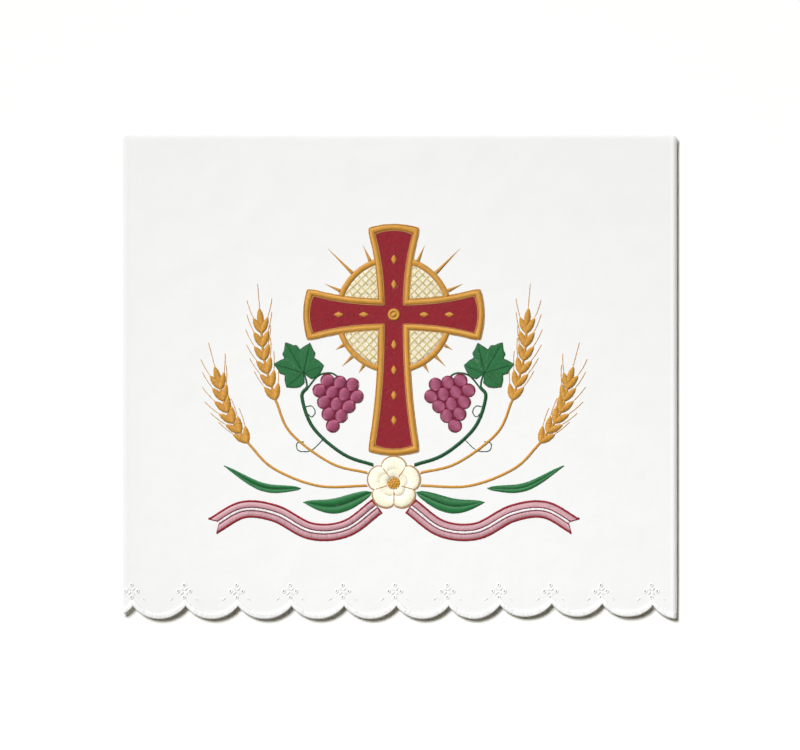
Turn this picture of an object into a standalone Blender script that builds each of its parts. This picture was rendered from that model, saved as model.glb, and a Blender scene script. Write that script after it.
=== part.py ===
"""Altar cloth of starched white linen, folded in three and laid flat, face up.

One sheet runs from its scalloped front edge up to the top fold, back under itself to the lower fold,
and up again to its plain rear hem. The scallops carry a stitched edging, and the front panel carries
an embroidered emblem of a cross, wheat and vine, whose stitched areas stand a little proud of the linen.
Metres, +Z up. X runs along the scallops, Y towards the top fold, and the origin is on the surface below
the middle of the cloth.
"""

import math

import bmesh
import bpy
import numpy as np

# Folded cloth
WIDTH = 0.4420
DEPTH = 0.3856
SHEET = 0.0011
LAYER_GAP = 0.0010
LAYER_PITCH = SHEET + LAYER_GAP
LOWER_FOLD_Y = -0.1700
REAR_HEM_Y = 0.1850
FOLD_REACH = 0.0016
CORNER_RADIUS = 0.0045
ROUNDING_STATIONS = (1.0, 0.72)
FOLD_STEPS = 6
COLUMNS = 12
# The lower layers are folded a little narrower, and their fold and hem wander along X
LOWER_LAYERS_INSET = 0.0006
WANDER = 0.0007
WANDER_WAVES = 1.3
WANDER_SHIFT = 8.0

# Scalloped edge
SCALLOP_DEPTH = 0.0104
# Where the points between the scallops are along X, one past each side edge included
CUSP_X = (-0.2539, -0.2123, -0.1705, -0.1288, -0.0863, -0.0445, -0.0030, 0.0386, 0.0795, 0.1206, 0.1607,
          0.2008, 0.2414)
ARC_STEPS = 8
RIM_DROOP = 0.0010
DROOP_POWER = 1.6
RIM_STATIONS = 6
EDGING_WIDTH = 0.0046
EDGING_CUSP_WIDTH = 0.0055
EDGING_RISE = 0.0007
# How far the edge is lifted along X, where the cut runs a little short
EDGE_LIFT = {
    "x": (-0.2210, 0.0600, 0.1010, 0.1830, 0.2100, 0.2210),
    "lift": (0.0000, 0.0000, 0.0018, 0.0018, 0.0000, 0.0000),
}

# Emblem, in its own frame about its middle
EMBLEM_AT = (-0.0050, -0.0070)
CLEARANCE = 0.0003
RELIEF = 0.0008
FIELD_RELIEF = 0.0004
STALK_RELIEF = 0.0006
SOFT_EDGE = 0.0002
ROUND_SIDES = 16

CROSS_AT = (0.0, 0.0560)
ARM_REACH = 0.0640
FOOT_REACH = 0.1040
WAIST = 0.0075
FLARE = 0.0150
FLARE_POWER = 2.4
END_BULGE = 0.0030
CROSS_BORDER = 0.0046
CROSS_BOSS = 0.0050

FIELD_RADIUS = 0.0415
RING_INNER = 0.0418
RING_OUTER = 0.0470
RING_STEP = math.radians(6)
RAY_HALF_ANGLE = math.radians(1.9)
# Rays of the ring in one quadrant: angle from the cross bar, and how far out each tip lies
UPPER_RAYS = {"angle": (24, 45, 66), "tip": (0.0600, 0.0740, 0.0600)}
LOWER_RAYS = {"angle": (31, 45, 59), "tip": (0.0540, 0.0580, 0.0540)}

STALK_WIDTH = 0.0022
KERNEL_LENGTH = 0.0140
KERNEL_WIDTH = 0.0060
KERNEL_SPREAD = 0.42
# Share of a kernel's length that lies back over the stalk, and how much higher each one sits than the last
KERNEL_OVERLAP = 0.08
KERNEL_STEP = 0.00001
KERNEL_PAIRS = 6
# A kernel's outline: share of its length, and reach to each side as a share of its width
KERNEL_SHAPE = {
    "share": (0.0, 0.22, 0.5, 0.78, 1.0, 0.78, 0.5, 0.22),
    "swell": (0.0, 0.42, 0.5, 0.34, 0.0, -0.34, -0.5, -0.42),
}
# Routes of the left half's stalks and ears, from the rose outwards
INNER_STALK = ((-0.0206, -0.0698), (-0.0500, -0.0620), (-0.0820, -0.0380), (-0.0940, -0.0120))
INNER_EAR = ((-0.0940, -0.0120), (-0.1030, 0.0200), (-0.1060, 0.0520))
OUTER_STALK = ((-0.0208, -0.0798), (-0.0600, -0.0800), (-0.0960, -0.0660), (-0.1160, -0.0460))
OUTER_EAR = ((-0.1160, -0.0460), (-0.1320, -0.0220), (-0.1400, 0.0060))

VINE_WIDTH = 0.0030
VINE = ((-0.0158, -0.0637), (-0.0400, -0.0550), (-0.0640, -0.0340), (-0.0730, -0.0100), (-0.0690, -0.0020))
VINE_LEAF_AT = (-0.0740, 0.0130)
VINE_LEAF_SIZE = 0.0240
VINE_LEAF_TURN = math.radians(120)
# Outline of a five-lobed leaf: angle from its tip in degrees, and reach as a share of its size
VINE_LEAF = {
    "angle": (0, 12, 20, 27, 38, 50, 62, 72, 80, 96, 112, 130, 146, 163, 176),
    "reach": (1.0, 0.80, 0.78, 0.62, 0.72, 0.90, 0.74, 0.70, 0.55, 0.64, 0.76, 0.66, 0.60, 0.48, 0.16),
}
LONG_LEAF = ((-0.0176, -0.0850), (-0.0460, -0.0960), (-0.0720, -0.0930))
LONG_LEAF_WIDTH = 0.0130
BLADE = ((-0.0740, -0.0820), (-0.1040, -0.0810), (-0.1350, -0.0640))
BLADE_WIDTH = 0.0070
LEAF_LEAN = 0.85
LEAF_FULLNESS = 0.75

GRAPES_AT = (-0.0430, 0.0020)
GRAPES_TILT = -0.16
GRAPE_ROWS = (3, 4, 3, 2, 1)
GRAPE_PITCH = 0.0100
GRAPE_RADIUS = 0.0056
GRAPE_SIDES = 10
GRAPE_CROWN = 0.62

ROSE_AT = (0.0, -0.0780)
ROSE_SIZE = 0.0215
ROSE_PETALS = 5
ROSE_HEART = 0.70
PETAL_FULLNESS = 0.45
ROSE_CENTRE = 0.0048

RIBBON = ((-0.0137, -0.0965), (-0.0380, -0.1140), (-0.0660, -0.1160), (-0.0940, -0.1020),
          (-0.1200, -0.0990), (-0.1440, -0.1120))
RIBBON_WIDTH = 0.0140
RIBBON_NOTCH = 0.0070

# Colour, roughness and metallic value of each finish
FINISHES = {
    "linen": ((0.90, 0.90, 0.89), 0.85, 0.0),
    "white_thread": ((0.94, 0.94, 0.92), 0.50, 0.0),
    "gold_thread": ((0.62, 0.33, 0.06), 0.42, 0.0),
    "crimson_thread": ((0.28, 0.012, 0.035), 0.48, 0.0),
    "cream_thread": ((0.80, 0.74, 0.56), 0.50, 0.0),
    "pink_thread": ((0.62, 0.33, 0.39), 0.48, 0.0),
    "mauve_thread": ((0.30, 0.085, 0.16), 0.48, 0.0),
    "green_thread": ((0.035, 0.22, 0.085), 0.50, 0.0),
    "dark_green_thread": ((0.012, 0.10, 0.040), 0.50, 0.0),
}

WELD = 0.000001
TOP = DEPTH / 2
LEFT = -WIDTH / 2
FRONT_MID_Z = SHEET / 2 + 2 * LAYER_PITCH
FRONT_TOP_Z = FRONT_MID_Z + SHEET / 2
EMBLEM_Z = FRONT_TOP_Z + CLEARANCE


def clear_scene():
    for obj in list(bpy.data.objects):
        bpy.data.objects.remove(obj)


def new_collection(name, hidden=False):
    collection = bpy.data.collections.new(name)
    collection.hide_render = hidden
    bpy.context.scene.collection.children.link(collection)
    return collection


def new_finish(name):
    colour, roughness, metallic = FINISHES[name]
    finish = bpy.data.materials.new(name)
    finish.use_nodes = True
    shader = finish.node_tree.nodes["Principled BSDF"]
    shader.inputs["Base Color"].default_value = (*colour, 1.0)
    shader.inputs["Roughness"].default_value = roughness
    shader.inputs["Metallic"].default_value = metallic
    finish.diffuse_color = (*colour, 1.0)
    return finish


# Plane geometry

def smooth_path(points, steps=8):
    """Points along a smooth curve through the given ones."""
    given = np.array(points, float)
    given = np.vstack([2 * given[0] - given[1], given, 2 * given[-1] - given[-2]])
    path = []
    for before, start, end, after in zip(given, given[1:], given[2:], given[3:]):
        for t in np.arange(steps) / steps:
            path.append(
                start
                + 0.5 * t * (end - before)
                + t * t * (before - 2.5 * start + 2 * end - 0.5 * after)
                + t**3 * (1.5 * (start - end) + 0.5 * (after - before))
            )
    path.append(given[-2])
    return np.array(path)


def directions(path):
    along = np.gradient(path, axis=0)
    return along / np.linalg.norm(along, axis=1, keepdims=True)


def sideways(path):
    return directions(path) @ np.array([[0.0, 1.0], [-1.0, 0.0]])


def band(path, width):
    """Outline of a strip of one width along a path."""
    side = sideways(path) * width / 2
    return np.vstack([path + side, (path - side)[::-1]])


def swallowtail(path, width, notch):
    """Outline of a ribbon whose far end is cut in to a notch."""
    side = sideways(path) * width / 2
    heart = path[-1] - directions(path)[-1] * notch
    return np.vstack([path + side, [heart], (path - side)[::-1]])


def leaf(path, width):
    """Outline of a pointed leaf on a curved spine."""
    share = np.linspace(0, 1, len(path))
    swell = np.sin(np.pi * share**LEAF_LEAN) ** LEAF_FULLNESS
    side = sideways(path) * (width / 2 * swell)[:, None]
    return np.vstack([path + side, (path - side)[-2:0:-1]])


def polar(radius, angle, centre=(0.0, 0.0)):
    return np.stack(
        [centre[0] + radius * np.cos(angle), centre[1] + radius * np.sin(angle)], axis=-1
    )


def vine_leaf():
    angle = np.radians(VINE_LEAF["angle"])
    reach = np.array(VINE_LEAF["reach"])
    angle = np.concatenate([angle, 2 * math.pi - angle[:0:-1]])
    reach = np.concatenate([reach, reach[:0:-1]])
    return polar(VINE_LEAF_SIZE * reach, angle + VINE_LEAF_TURN, VINE_LEAF_AT)


def rose_outline(steps=8):
    angle = 2 * math.pi * np.arange(ROSE_PETALS * steps) / (ROSE_PETALS * steps)
    lobes = np.abs(np.cos(ROSE_PETALS / 2 * angle)) ** PETAL_FULLNESS
    swell = ROSE_HEART + (1 - ROSE_HEART) * lobes
    return polar(ROSE_SIZE * swell, math.pi / 2 - angle, ROSE_AT)


def circle(radius, centre):
    return polar(radius, 2 * math.pi * np.arange(ROUND_SIDES) / ROUND_SIDES, centre)


def turned(angle):
    """Matrix that turns a row of points anticlockwise."""
    return np.array([[math.cos(angle), math.sin(angle)], [-math.sin(angle), math.cos(angle)]])


def kernel(root, angle):
    """Outline of one wheat kernel, pointed at both ends."""
    share = np.array(KERNEL_SHAPE["share"]) - KERNEL_OVERLAP
    swell = np.array(KERNEL_SHAPE["swell"])
    return root + np.stack([KERNEL_LENGTH * share, KERNEL_WIDTH * swell], axis=1) @ turned(angle)


def kernels(path):
    """Outlines of an ear's kernels: pairs up the path, and one at its tip."""
    run = np.concatenate([[0.0], np.cumsum(np.linalg.norm(np.diff(path, axis=0), axis=1))])
    heading = np.arctan2(*directions(path).T[::-1])
    outlines = []
    for place in np.linspace(0.0, run[-1], KERNEL_PAIRS, endpoint=False):
        root = np.array([np.interp(place, run, path[:, 0]), np.interp(place, run, path[:, 1])])
        angle = np.interp(place, run, heading)
        outlines += [kernel(root, angle + KERNEL_SPREAD), kernel(root, angle - KERNEL_SPREAD)]
    tip_root = path[-1] - directions(path)[-1] * KERNEL_LENGTH / 3
    outlines.append(kernel(tip_root, heading[-1]))
    return outlines


# The cross and its ring

def arm_half_width(along, reach):
    return WAIST + (FLARE - WAIST) * (max(along, 0.0) / reach) ** FLARE_POWER


def cross_outline(grow=0.0, side_steps=5, end_steps=4):
    """Outline of a cross whose arms flare, grown outwards by a margin."""
    outline = []
    for quarter, reach in enumerate((ARM_REACH, ARM_REACH, FOOT_REACH, ARM_REACH)):
        end = reach + grow
        along = np.linspace(WAIST + grow, end, side_steps + 1)
        half = np.array([arm_half_width(min(t, reach), reach) + grow for t in along])
        share = 1 - np.arange(1, 2 * end_steps) / end_steps
        bulge = np.stack([-half[-1] * share, end + END_BULGE * (1 - share**2)], axis=1)
        left = np.stack([-half, along], axis=1)[1:]
        right = np.stack([half, along], axis=1)[::-1]
        arm = np.vstack([left, bulge, right])
        outline.append(arm @ turned(math.radians(-90 * quarter)))
    return np.vstack(outline) + CROSS_AT


def arm_crossing(radius, reach):
    """Where a circle about the crossing meets the edge of an arm's border: (out from, along) the arm."""
    margin = CROSS_BORDER + CLEARANCE
    along = radius
    for _ in range(20):
        along = math.sqrt(radius**2 - (arm_half_width(along, reach) + margin) ** 2)
    return arm_half_width(along, reach) + margin, along


def sweep(radius, upright_reach):
    """Angles from the cross bar at which a circle leaves the bar and meets the upright."""
    out, along = arm_crossing(radius, ARM_REACH)
    out_up, along_up = arm_crossing(radius, upright_reach)
    return math.atan2(out, along), math.atan2(along_up, out_up)


def quadrant_field(upright_reach, side_steps=6, arc_steps=10):
    margin = CROSS_BORDER + CLEARANCE
    low, high = sweep(FIELD_RADIUS, upright_reach)
    arc = polar(FIELD_RADIUS, np.linspace(low, high, arc_steps + 1))
    up = np.linspace(arc[-1][1], WAIST + margin, side_steps + 1)[1:]
    upright = [(arm_half_width(t, upright_reach) + margin, t) for t in up]
    across = np.linspace(WAIST + margin, arc[0][0], side_steps + 1)[1:-1]
    bar = [(t, arm_half_width(t, ARM_REACH) + margin) for t in across]
    return np.vstack([arc, upright, bar])


def ring_arc(upright_reach, rays):
    """Outline of the ring between two arms, with its rays."""
    low, high = sweep(RING_INNER, upright_reach)
    inner = polar(RING_INNER, np.linspace(high, low, round((high - low) / RING_STEP) + 1))
    low, high = sweep(RING_OUTER, upright_reach)
    outer = []
    start = low
    stops = [(math.radians(angle), tip) for angle, tip in zip(rays["angle"], rays["tip"])]
    for angle, tip in stops + [(high + RAY_HALF_ANGLE, None)]:
        end = angle - RAY_HALF_ANGLE
        steps = max(1, round((end - start) / RING_STEP))
        outer.append(polar(RING_OUTER, np.linspace(start, end, steps + 1)))
        if tip:
            outer.append([polar(tip, angle)])
        start = angle + RAY_HALF_ANGLE
    return np.vstack([inner] + outer)


# The scalloped edge

def edge_lift(x):
    return np.interp(x, EDGE_LIFT["x"], EDGE_LIFT["lift"])


def scallop_line(low_y, depth):
    """Points along the scallops, from the left side edge to the right one."""
    points = []
    for start, end in zip(CUSP_X, CUSP_X[1:]):
        middle, half = (start + end) / 2, (end - start) / 2
        radius = (half**2 + depth**2) / (2 * depth)
        step = 2 * half / ARC_STEPS
        for x in start + step * np.arange(ARC_STEPS):
            if LEFT - step < x < step - LEFT:
                sag = radius - math.sqrt(radius**2 - (x - middle) ** 2)
                points.append((x, low_y + sag + edge_lift(x)))
    return np.array(points)


def droop(y):
    """How far the free rim sinks at Y, in front of the lower fold."""
    share = np.clip((LOWER_FOLD_Y - y) / (LOWER_FOLD_Y + TOP), 0.0, None)
    return RIM_DROOP * share**DROOP_POWER


# Solids

def flat_piece(name, loops, low, rise, collection, finish=None, soft=0.0):
    """A flat outline with its holes, raised to a solid."""
    curve = bpy.data.curves.new(name, "CURVE")
    curve.dimensions = "2D"
    curve.fill_mode = "BOTH"
    curve.extrude = rise / 2
    for loop in loops:
        spline = curve.splines.new("POLY")
        spline.points.add(len(loop) - 1)
        spline.use_cyclic_u = True
        for point, (x, y) in zip(spline.points, loop):
            point.co = (x, y, 0.0, 1.0)
    guide = bpy.data.objects.new(name + "_outline", curve)
    guide.location.z = low + rise / 2
    bpy.context.scene.collection.objects.link(guide)
    bpy.context.view_layer.update()
    graph = bpy.context.evaluated_depsgraph_get()
    mesh = bpy.data.meshes.new_from_object(guide.evaluated_get(graph))
    body = bmesh.new()
    body.from_mesh(mesh)
    bmesh.ops.remove_doubles(body, verts=body.verts, dist=WELD)
    bmesh.ops.recalc_face_normals(body, faces=body.faces)
    body.to_mesh(mesh)
    body.free()
    obj = bpy.data.objects.new(name, mesh)
    obj.matrix_world = guide.matrix_world.copy()
    bpy.data.objects.remove(guide)
    bpy.data.curves.remove(curve)
    collection.objects.link(obj)
    if finish:
        obj.data.materials.append(finish)
    if soft:
        edge = obj.modifiers.new("Soft edge", "BEVEL")
        edge.width = soft
        edge.limit_method = "ANGLE"
        edge.angle_limit = math.radians(60)
    return obj


def combine(obj, others, operation):
    """Joins to, cuts from or keeps of a solid what other meshes hold."""
    for other in others:
        other.display_type = "WIRE"
        other.hide_render = True
        change = obj.modifiers.new(other.name, "BOOLEAN")
        change.operation = operation
        change.object = other
        change.solver = "EXACT"


def lofted_sheet(name, rows, thickness, offset, collection, finish):
    """A sheet through rows of points, given thickness about its face, or to one side of it."""
    mesh = bpy.data.meshes.new(name)
    count = len(rows[0])
    points = [tuple(point) for row in rows for point in row]
    faces = []
    for r in range(len(rows) - 1):
        for c in range(count - 1):
            corner = r * count + c
            faces.append((corner, corner + 1, corner + count + 1, corner + count))
    mesh.from_pydata(points, [], faces)
    mesh.materials.append(finish)
    obj = bpy.data.objects.new(name, mesh)
    collection.objects.link(obj)
    body = obj.modifiers.new("Thickness", "SOLIDIFY")
    body.thickness = thickness
    body.offset = offset
    body.use_even_offset = True
    return obj


def fold(centre_y, reach, upper_z, lower_z):
    """Stations (y, z) round a fold, from its upper layer to its lower one, or back with a negative reach."""
    turn = np.linspace(0.0, math.pi, FOLD_STEPS + 1)
    middle_z = (upper_z + lower_z) / 2
    half = (upper_z - lower_z) / 2
    return [(centre_y + reach * math.sin(a), middle_z + half * math.cos(a)) for a in turn]


def section():
    """Stations of the sheet's middle face, from the front edge to the rear hem.

    Each is (y, z, how much narrower the cloth is there, how far the line wanders).
    """
    middle_z = FRONT_MID_Z - LAYER_PITCH
    bottom_z = middle_z - LAYER_PITCH
    rounding = TOP - CORNER_RADIUS * np.array(ROUNDING_STATIONS)
    rim = np.linspace(-TOP - 2 * SHEET, LOWER_FOLD_Y, RIM_STATIONS)
    front = [(y, FRONT_MID_Z - droop(y)) for y in rim] + [(y, FRONT_MID_Z) for y in rounding]
    top_fold = fold(TOP - SHEET / 2 - FOLD_REACH, FOLD_REACH, FRONT_MID_Z, middle_z)
    middle = [(y, middle_z) for y in rounding[::-1]]
    lower_fold = fold(LOWER_FOLD_Y + SHEET / 2 + FOLD_REACH, -FOLD_REACH, middle_z, bottom_z)
    rear_hem = [(REAR_HEM_Y, bottom_z)]
    stations = [(y, z, 0.0, 0.0) for y, z in front + top_fold]
    stations += [(y, z, LOWER_LAYERS_INSET, 0.0) for y, z in middle]
    stations += [(y, z, LOWER_LAYERS_INSET, WANDER) for y, z in lower_fold + rear_hem]
    return stations


def half_width(y):
    """Half the cloth's width at Y, drawn in where the corners at the top fold are rounded."""
    into = max(0.0, y + SHEET / 2 - (TOP - CORNER_RADIUS))
    into = min(into, CORNER_RADIUS)
    return WIDTH / 2 - CORNER_RADIUS + math.sqrt(CORNER_RADIUS**2 - into**2)


def sheet_rows():
    rows = []
    for y, z, narrower, wander in section():
        share = np.linspace(-1.0, 1.0, COLUMNS + 1)
        x = share * (half_width(y) - narrower)
        shift = wander * np.sin(2 * math.pi * WANDER_WAVES * share + WANDER_SHIFT * y)
        rows.append(np.stack([x, y + shift, np.full(COLUMNS + 1, z)], axis=1))
    return rows


def make_cloth(parts, cutters, finish):
    cloth = lofted_sheet("cloth", sheet_rows(), SHEET, 0.0, parts, finish)
    line = scallop_line(-TOP, SCALLOP_DEPTH)
    below = -TOP - 6 * SHEET
    waste = np.vstack([line, [(line[-1][0], below), (line[0][0], below)]])
    cutter = flat_piece("scallop_waste", [waste], 0.0, 2 * FRONT_TOP_Z, cutters)
    combine(cloth, [cutter], "DIFFERENCE")


def make_edging(parts, cutters, finish):
    """Stitched edging: a strip on the rim's face, between the scallops and a shallower inner line."""
    rows = [
        [(side * WIDTH, y, FRONT_TOP_Z + CLEARANCE - droop(y)) for side in (-1.0, 1.0)]
        for y in np.linspace(-TOP - SHEET, LOWER_FOLD_Y, RIM_STATIONS)
    ]
    edging = lofted_sheet("scallop_edging", rows, EDGING_RISE, 1.0, parts, finish)
    outer = scallop_line(-TOP + CLEARANCE, SCALLOP_DEPTH)
    inner_depth = SCALLOP_DEPTH + EDGING_CUSP_WIDTH - EDGING_WIDTH
    inner = scallop_line(-TOP + EDGING_WIDTH, inner_depth)
    side = -LEFT - CLEARANCE
    strip = np.vstack([outer, inner[::-1]])
    strip[:, 0] = np.clip(strip[:, 0], -side, side)
    keeper = flat_piece("edging_shape", [strip], 0.0, 3 * FRONT_TOP_Z, cutters)
    combine(edging, [keeper], "INTERSECT")


def placed(outline, mirrored=False):
    """An outline of the emblem in the cloth's frame, on the left or mirrored to the right."""
    outline = np.asarray(outline) * ((-1.0 if mirrored else 1.0), 1.0)
    return outline + EMBLEM_AT


def make_cross(parts, finishes):
    field = placed(cross_outline())
    socket = placed(circle(CROSS_BOSS + CLEARANCE, CROSS_AT))
    boss = placed(circle(CROSS_BOSS, CROSS_AT))
    inner = placed(cross_outline(CLEARANCE))
    outer = placed(cross_outline(CROSS_BORDER))
    flat_piece("cross_field", [field, socket], EMBLEM_Z, RELIEF, parts, finishes["crimson_thread"])
    flat_piece("cross_border", [outer, inner], EMBLEM_Z, RELIEF, parts, finishes["gold_thread"])
    flat_piece("cross_boss", [boss], EMBLEM_Z, RELIEF, parts, finishes["gold_thread"], SOFT_EDGE)


def make_ring(parts, finishes):
    quarters = (
        ("upper", 1.0, ARM_REACH, UPPER_RAYS),
        ("lower", -1.0, FOOT_REACH, LOWER_RAYS),
    )
    for height, up, upright_reach, rays in quarters:
        for side, across in (("left", -1.0), ("right", 1.0)):
            field = quadrant_field(upright_reach) * (across, up) + CROSS_AT
            arc = ring_arc(upright_reach, rays) * (across, up) + CROSS_AT
            where = f"{height}_{side}"
            flat_piece(f"field_{where}", [placed(field)], EMBLEM_Z, FIELD_RELIEF, parts,
                       finishes["cream_thread"])
            flat_piece(f"ring_{where}", [placed(arc)], EMBLEM_Z, RELIEF, parts,
                       finishes["gold_thread"])


def make_wheat(parts, cutters, finishes):
    ears = (("inner", INNER_STALK, INNER_EAR), ("outer", OUTER_STALK, OUTER_EAR))
    for place, stalk_points, ear_points in ears:
        for side, mirrored in (("left", False), ("right", True)):
            name = f"wheat_{place}_{side}"
            spine = np.vstack([smooth_path(stalk_points, 4)[:-1], smooth_path(ear_points, 4)])
            stalk = placed(band(spine, STALK_WIDTH), mirrored)
            wheat = flat_piece(name, [stalk], EMBLEM_Z, STALK_RELIEF, parts, finishes["gold_thread"])
            grains = [
                flat_piece(f"{name}_grain_{number}", [placed(outline, mirrored)],
                           EMBLEM_Z + number * KERNEL_STEP, RELIEF, cutters)
                for number, outline in enumerate(kernels(smooth_path(ear_points)), start=1)
            ]
            combine(wheat, grains, "UNION")


def make_vine(parts, finishes):
    for side, mirrored in (("left", False), ("right", True)):
        stem = placed(band(smooth_path(VINE, 5), VINE_WIDTH), mirrored)
        flat_piece(f"vine_stem_{side}", [stem], EMBLEM_Z, RELIEF, parts, finishes["dark_green_thread"])
        flat_piece(f"vine_leaf_{side}", [placed(vine_leaf(), mirrored)], EMBLEM_Z, RELIEF, parts,
                   finishes["green_thread"])
        long_leaf = placed(leaf(smooth_path(LONG_LEAF), LONG_LEAF_WIDTH), mirrored)
        flat_piece(f"long_leaf_{side}", [long_leaf], EMBLEM_Z, RELIEF, parts, finishes["green_thread"])
        blade = placed(leaf(smooth_path(BLADE), BLADE_WIDTH), mirrored)
        flat_piece(f"wheat_blade_{side}", [blade], EMBLEM_Z, RELIEF, parts, finishes["green_thread"])


def dome(name, radius, rise, centre, collection):
    """A low round boss with sloping sides, standing on the emblem's level."""
    mesh = bpy.data.meshes.new(name)
    body = bmesh.new()
    bmesh.ops.create_cone(body, cap_ends=True, segments=GRAPE_SIDES, radius1=radius,
                          radius2=radius * GRAPE_CROWN, depth=rise)
    body.to_mesh(mesh)
    body.free()
    obj = bpy.data.objects.new(name, mesh)
    obj.location = (*centre, EMBLEM_Z + rise / 2)
    collection.objects.link(obj)
    return obj


def grape_centres():
    """Middles of the left bunch's grapes, in rows that hang from its stalk."""
    centres = [
        ((number - (count - 1) / 2) * GRAPE_PITCH, -row * GRAPE_PITCH * math.cos(math.radians(30)))
        for row, count in enumerate(GRAPE_ROWS)
        for number in range(count)
    ]
    return np.array(centres) @ turned(GRAPES_TILT) + GRAPES_AT


def make_grapes(parts, cutters, finishes):
    for side, mirrored in (("left", False), ("right", True)):
        name = f"grapes_{side}"
        first, *rest = placed(grape_centres(), mirrored)
        bunch = dome(name, GRAPE_RADIUS, RELIEF, first, parts)
        bunch.data.materials.append(finishes["mauve_thread"])
        others = [
            dome(f"{name}_{number}", GRAPE_RADIUS, RELIEF, centre, cutters)
            for number, centre in enumerate(rest)
        ]
        combine(bunch, others, "UNION")


def make_rose(parts, finishes):
    petals = placed(rose_outline())
    eye = placed(circle(ROSE_CENTRE + CLEARANCE, ROSE_AT))
    centre = placed(circle(ROSE_CENTRE, ROSE_AT))
    flat_piece("rose_petals", [petals, eye], EMBLEM_Z, RELIEF, parts, finishes["cream_thread"])
    flat_piece("rose_centre", [centre], EMBLEM_Z, RELIEF, parts, finishes["gold_thread"], SOFT_EDGE)


def make_ribbon(parts, finishes):
    for side, mirrored in (("left", False), ("right", True)):
        outline = swallowtail(smooth_path(RIBBON, 6), RIBBON_WIDTH, RIBBON_NOTCH)
        flat_piece(f"ribbon_{side}", [placed(outline, mirrored)], EMBLEM_Z, RELIEF, parts,
                   finishes["pink_thread"])


def main():
    clear_scene()
    parts = new_collection("altar_cloth")
    cutters = new_collection("cutters", hidden=True)
    finishes = {name: new_finish(name) for name in FINISHES}
    make_cloth(parts, cutters, finishes["linen"])
    make_edging(parts, cutters, finishes["white_thread"])
    make_cross(parts, finishes)
    make_ring(parts, finishes)
    make_wheat(parts, cutters, finishes)
    make_vine(parts, finishes)
    make_grapes(parts, cutters, finishes)
    make_rose(parts, finishes)
    make_ribbon(parts, finishes)


main()
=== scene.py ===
"""Altar cloth of starched white linen, folded in three and laid flat: how it looks.

Laid out as an add-on whose operators each make one piece, or a group of like pieces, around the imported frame.
The linen is cut flat, with its scallops and eyelet holes, and then laid along its folds. The edging and the
emblem are single stitches: each is a round thread that comes up through the linen, lies on it and goes down
again. Metres, +Z up. X runs along the scallops, and Y towards the top fold.
"""

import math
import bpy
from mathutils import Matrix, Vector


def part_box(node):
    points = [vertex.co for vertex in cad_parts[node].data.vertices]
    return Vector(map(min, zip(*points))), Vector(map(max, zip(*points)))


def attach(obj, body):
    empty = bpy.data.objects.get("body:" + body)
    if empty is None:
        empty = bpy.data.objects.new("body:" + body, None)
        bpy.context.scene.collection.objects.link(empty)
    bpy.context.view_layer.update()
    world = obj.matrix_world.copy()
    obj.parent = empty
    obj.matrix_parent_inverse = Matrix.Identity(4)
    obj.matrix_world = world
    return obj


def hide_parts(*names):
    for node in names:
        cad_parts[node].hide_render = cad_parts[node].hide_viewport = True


bl_info = {
    "name": "Altar Cloth",
    "version": (1, 0, 0),
    "blender": (4, 5, 0),
    "location": "View3D > Sidebar > Altar Cloth",
    "description": "Makes a folded linen with a scalloped edge and an embroidered emblem around its frame",
    "category": "Add Mesh",
}

import bpy
import numpy as np
from mathutils import Vector, geometry

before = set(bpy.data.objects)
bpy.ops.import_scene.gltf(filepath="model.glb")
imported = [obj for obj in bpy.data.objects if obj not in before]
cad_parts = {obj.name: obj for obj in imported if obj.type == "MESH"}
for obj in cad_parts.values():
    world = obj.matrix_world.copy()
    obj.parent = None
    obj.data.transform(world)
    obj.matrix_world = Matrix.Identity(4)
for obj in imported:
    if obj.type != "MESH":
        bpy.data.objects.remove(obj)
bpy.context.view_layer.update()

# The folded cloth, as its solid has it
CLOTH_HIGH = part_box("cloth")[1]
HALF_WIDTH = CLOTH_HIGH.x
TOP = CLOTH_HIGH.y
FRONT_TOP_Z = CLOTH_HIGH.z
LOWER_FOLD_Y = -0.1700
REAR_HEM_Y = 0.1850
FOLD_REACH = 0.0011
CORNER_RADIUS = 0.0060
# How far the two lower layers lie inside the front one at the left
LOWER_LAYERS_INSET = 0.0006
# How unevenly the bottom layer lies along Y: how far, in how many waves, and how they shift with Y
WANDER = 0.0007
WANDER_WAVES = 1.3
WANDER_SHIFT = 8.0
# How far the free rim sinks in front of the lower fold, and how much more so towards its edge
RIM_DROOP = 0.0004
DROOP_POWER = 1.6

# The scallops
SCALLOP_DEPTH = 0.0104
# Where the points between them are along X, one past each side edge included
CUSP_X = np.array((-0.2539, -0.2123, -0.1705, -0.1288, -0.0863, -0.0445, -0.0030,
                   0.0386, 0.0795, 0.1206, 0.1607, 0.2008, 0.2414))
# Where along X the cut edge runs a little higher, and by how much
EDGE_LIFT = {
    "x": (-0.2210, 0.0600, 0.1010, 0.1830, 0.2100, 0.2210),
    "lift": (0.0000, 0.0000, 0.0018, 0.0018, 0.0000, 0.0000),
}

# How the front layer rolls off at a side or at the top fold: how far in it starts, and how far it drops
LEFT_ROLL = 0.0036
LEFT_DROP = 0.00034
TOP_ROLL = 0.0042
TOP_DROP = 0.00036
RIGHT_ROLL = 0.0034
RIGHT_DROP = 0.0018
# How round the right side's roll is, how far it draws the edge in, and how far below the fold it is full
ROLL_POWER = 1.5
RIGHT_PULL = 0.0009
FULL_ROLL = 0.0085
# The ridge just inside the right side's roll
RIDGE_IN = 0.0043
RIDGE_WIDTH = 0.0007
RIDGE_RISE = 0.00018
# The side hems, which are double and so stand a little higher
HEM_WIDTH = 0.0050
HEM_STEP = 0.0018
HEM_RISE = 0.00007
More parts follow.
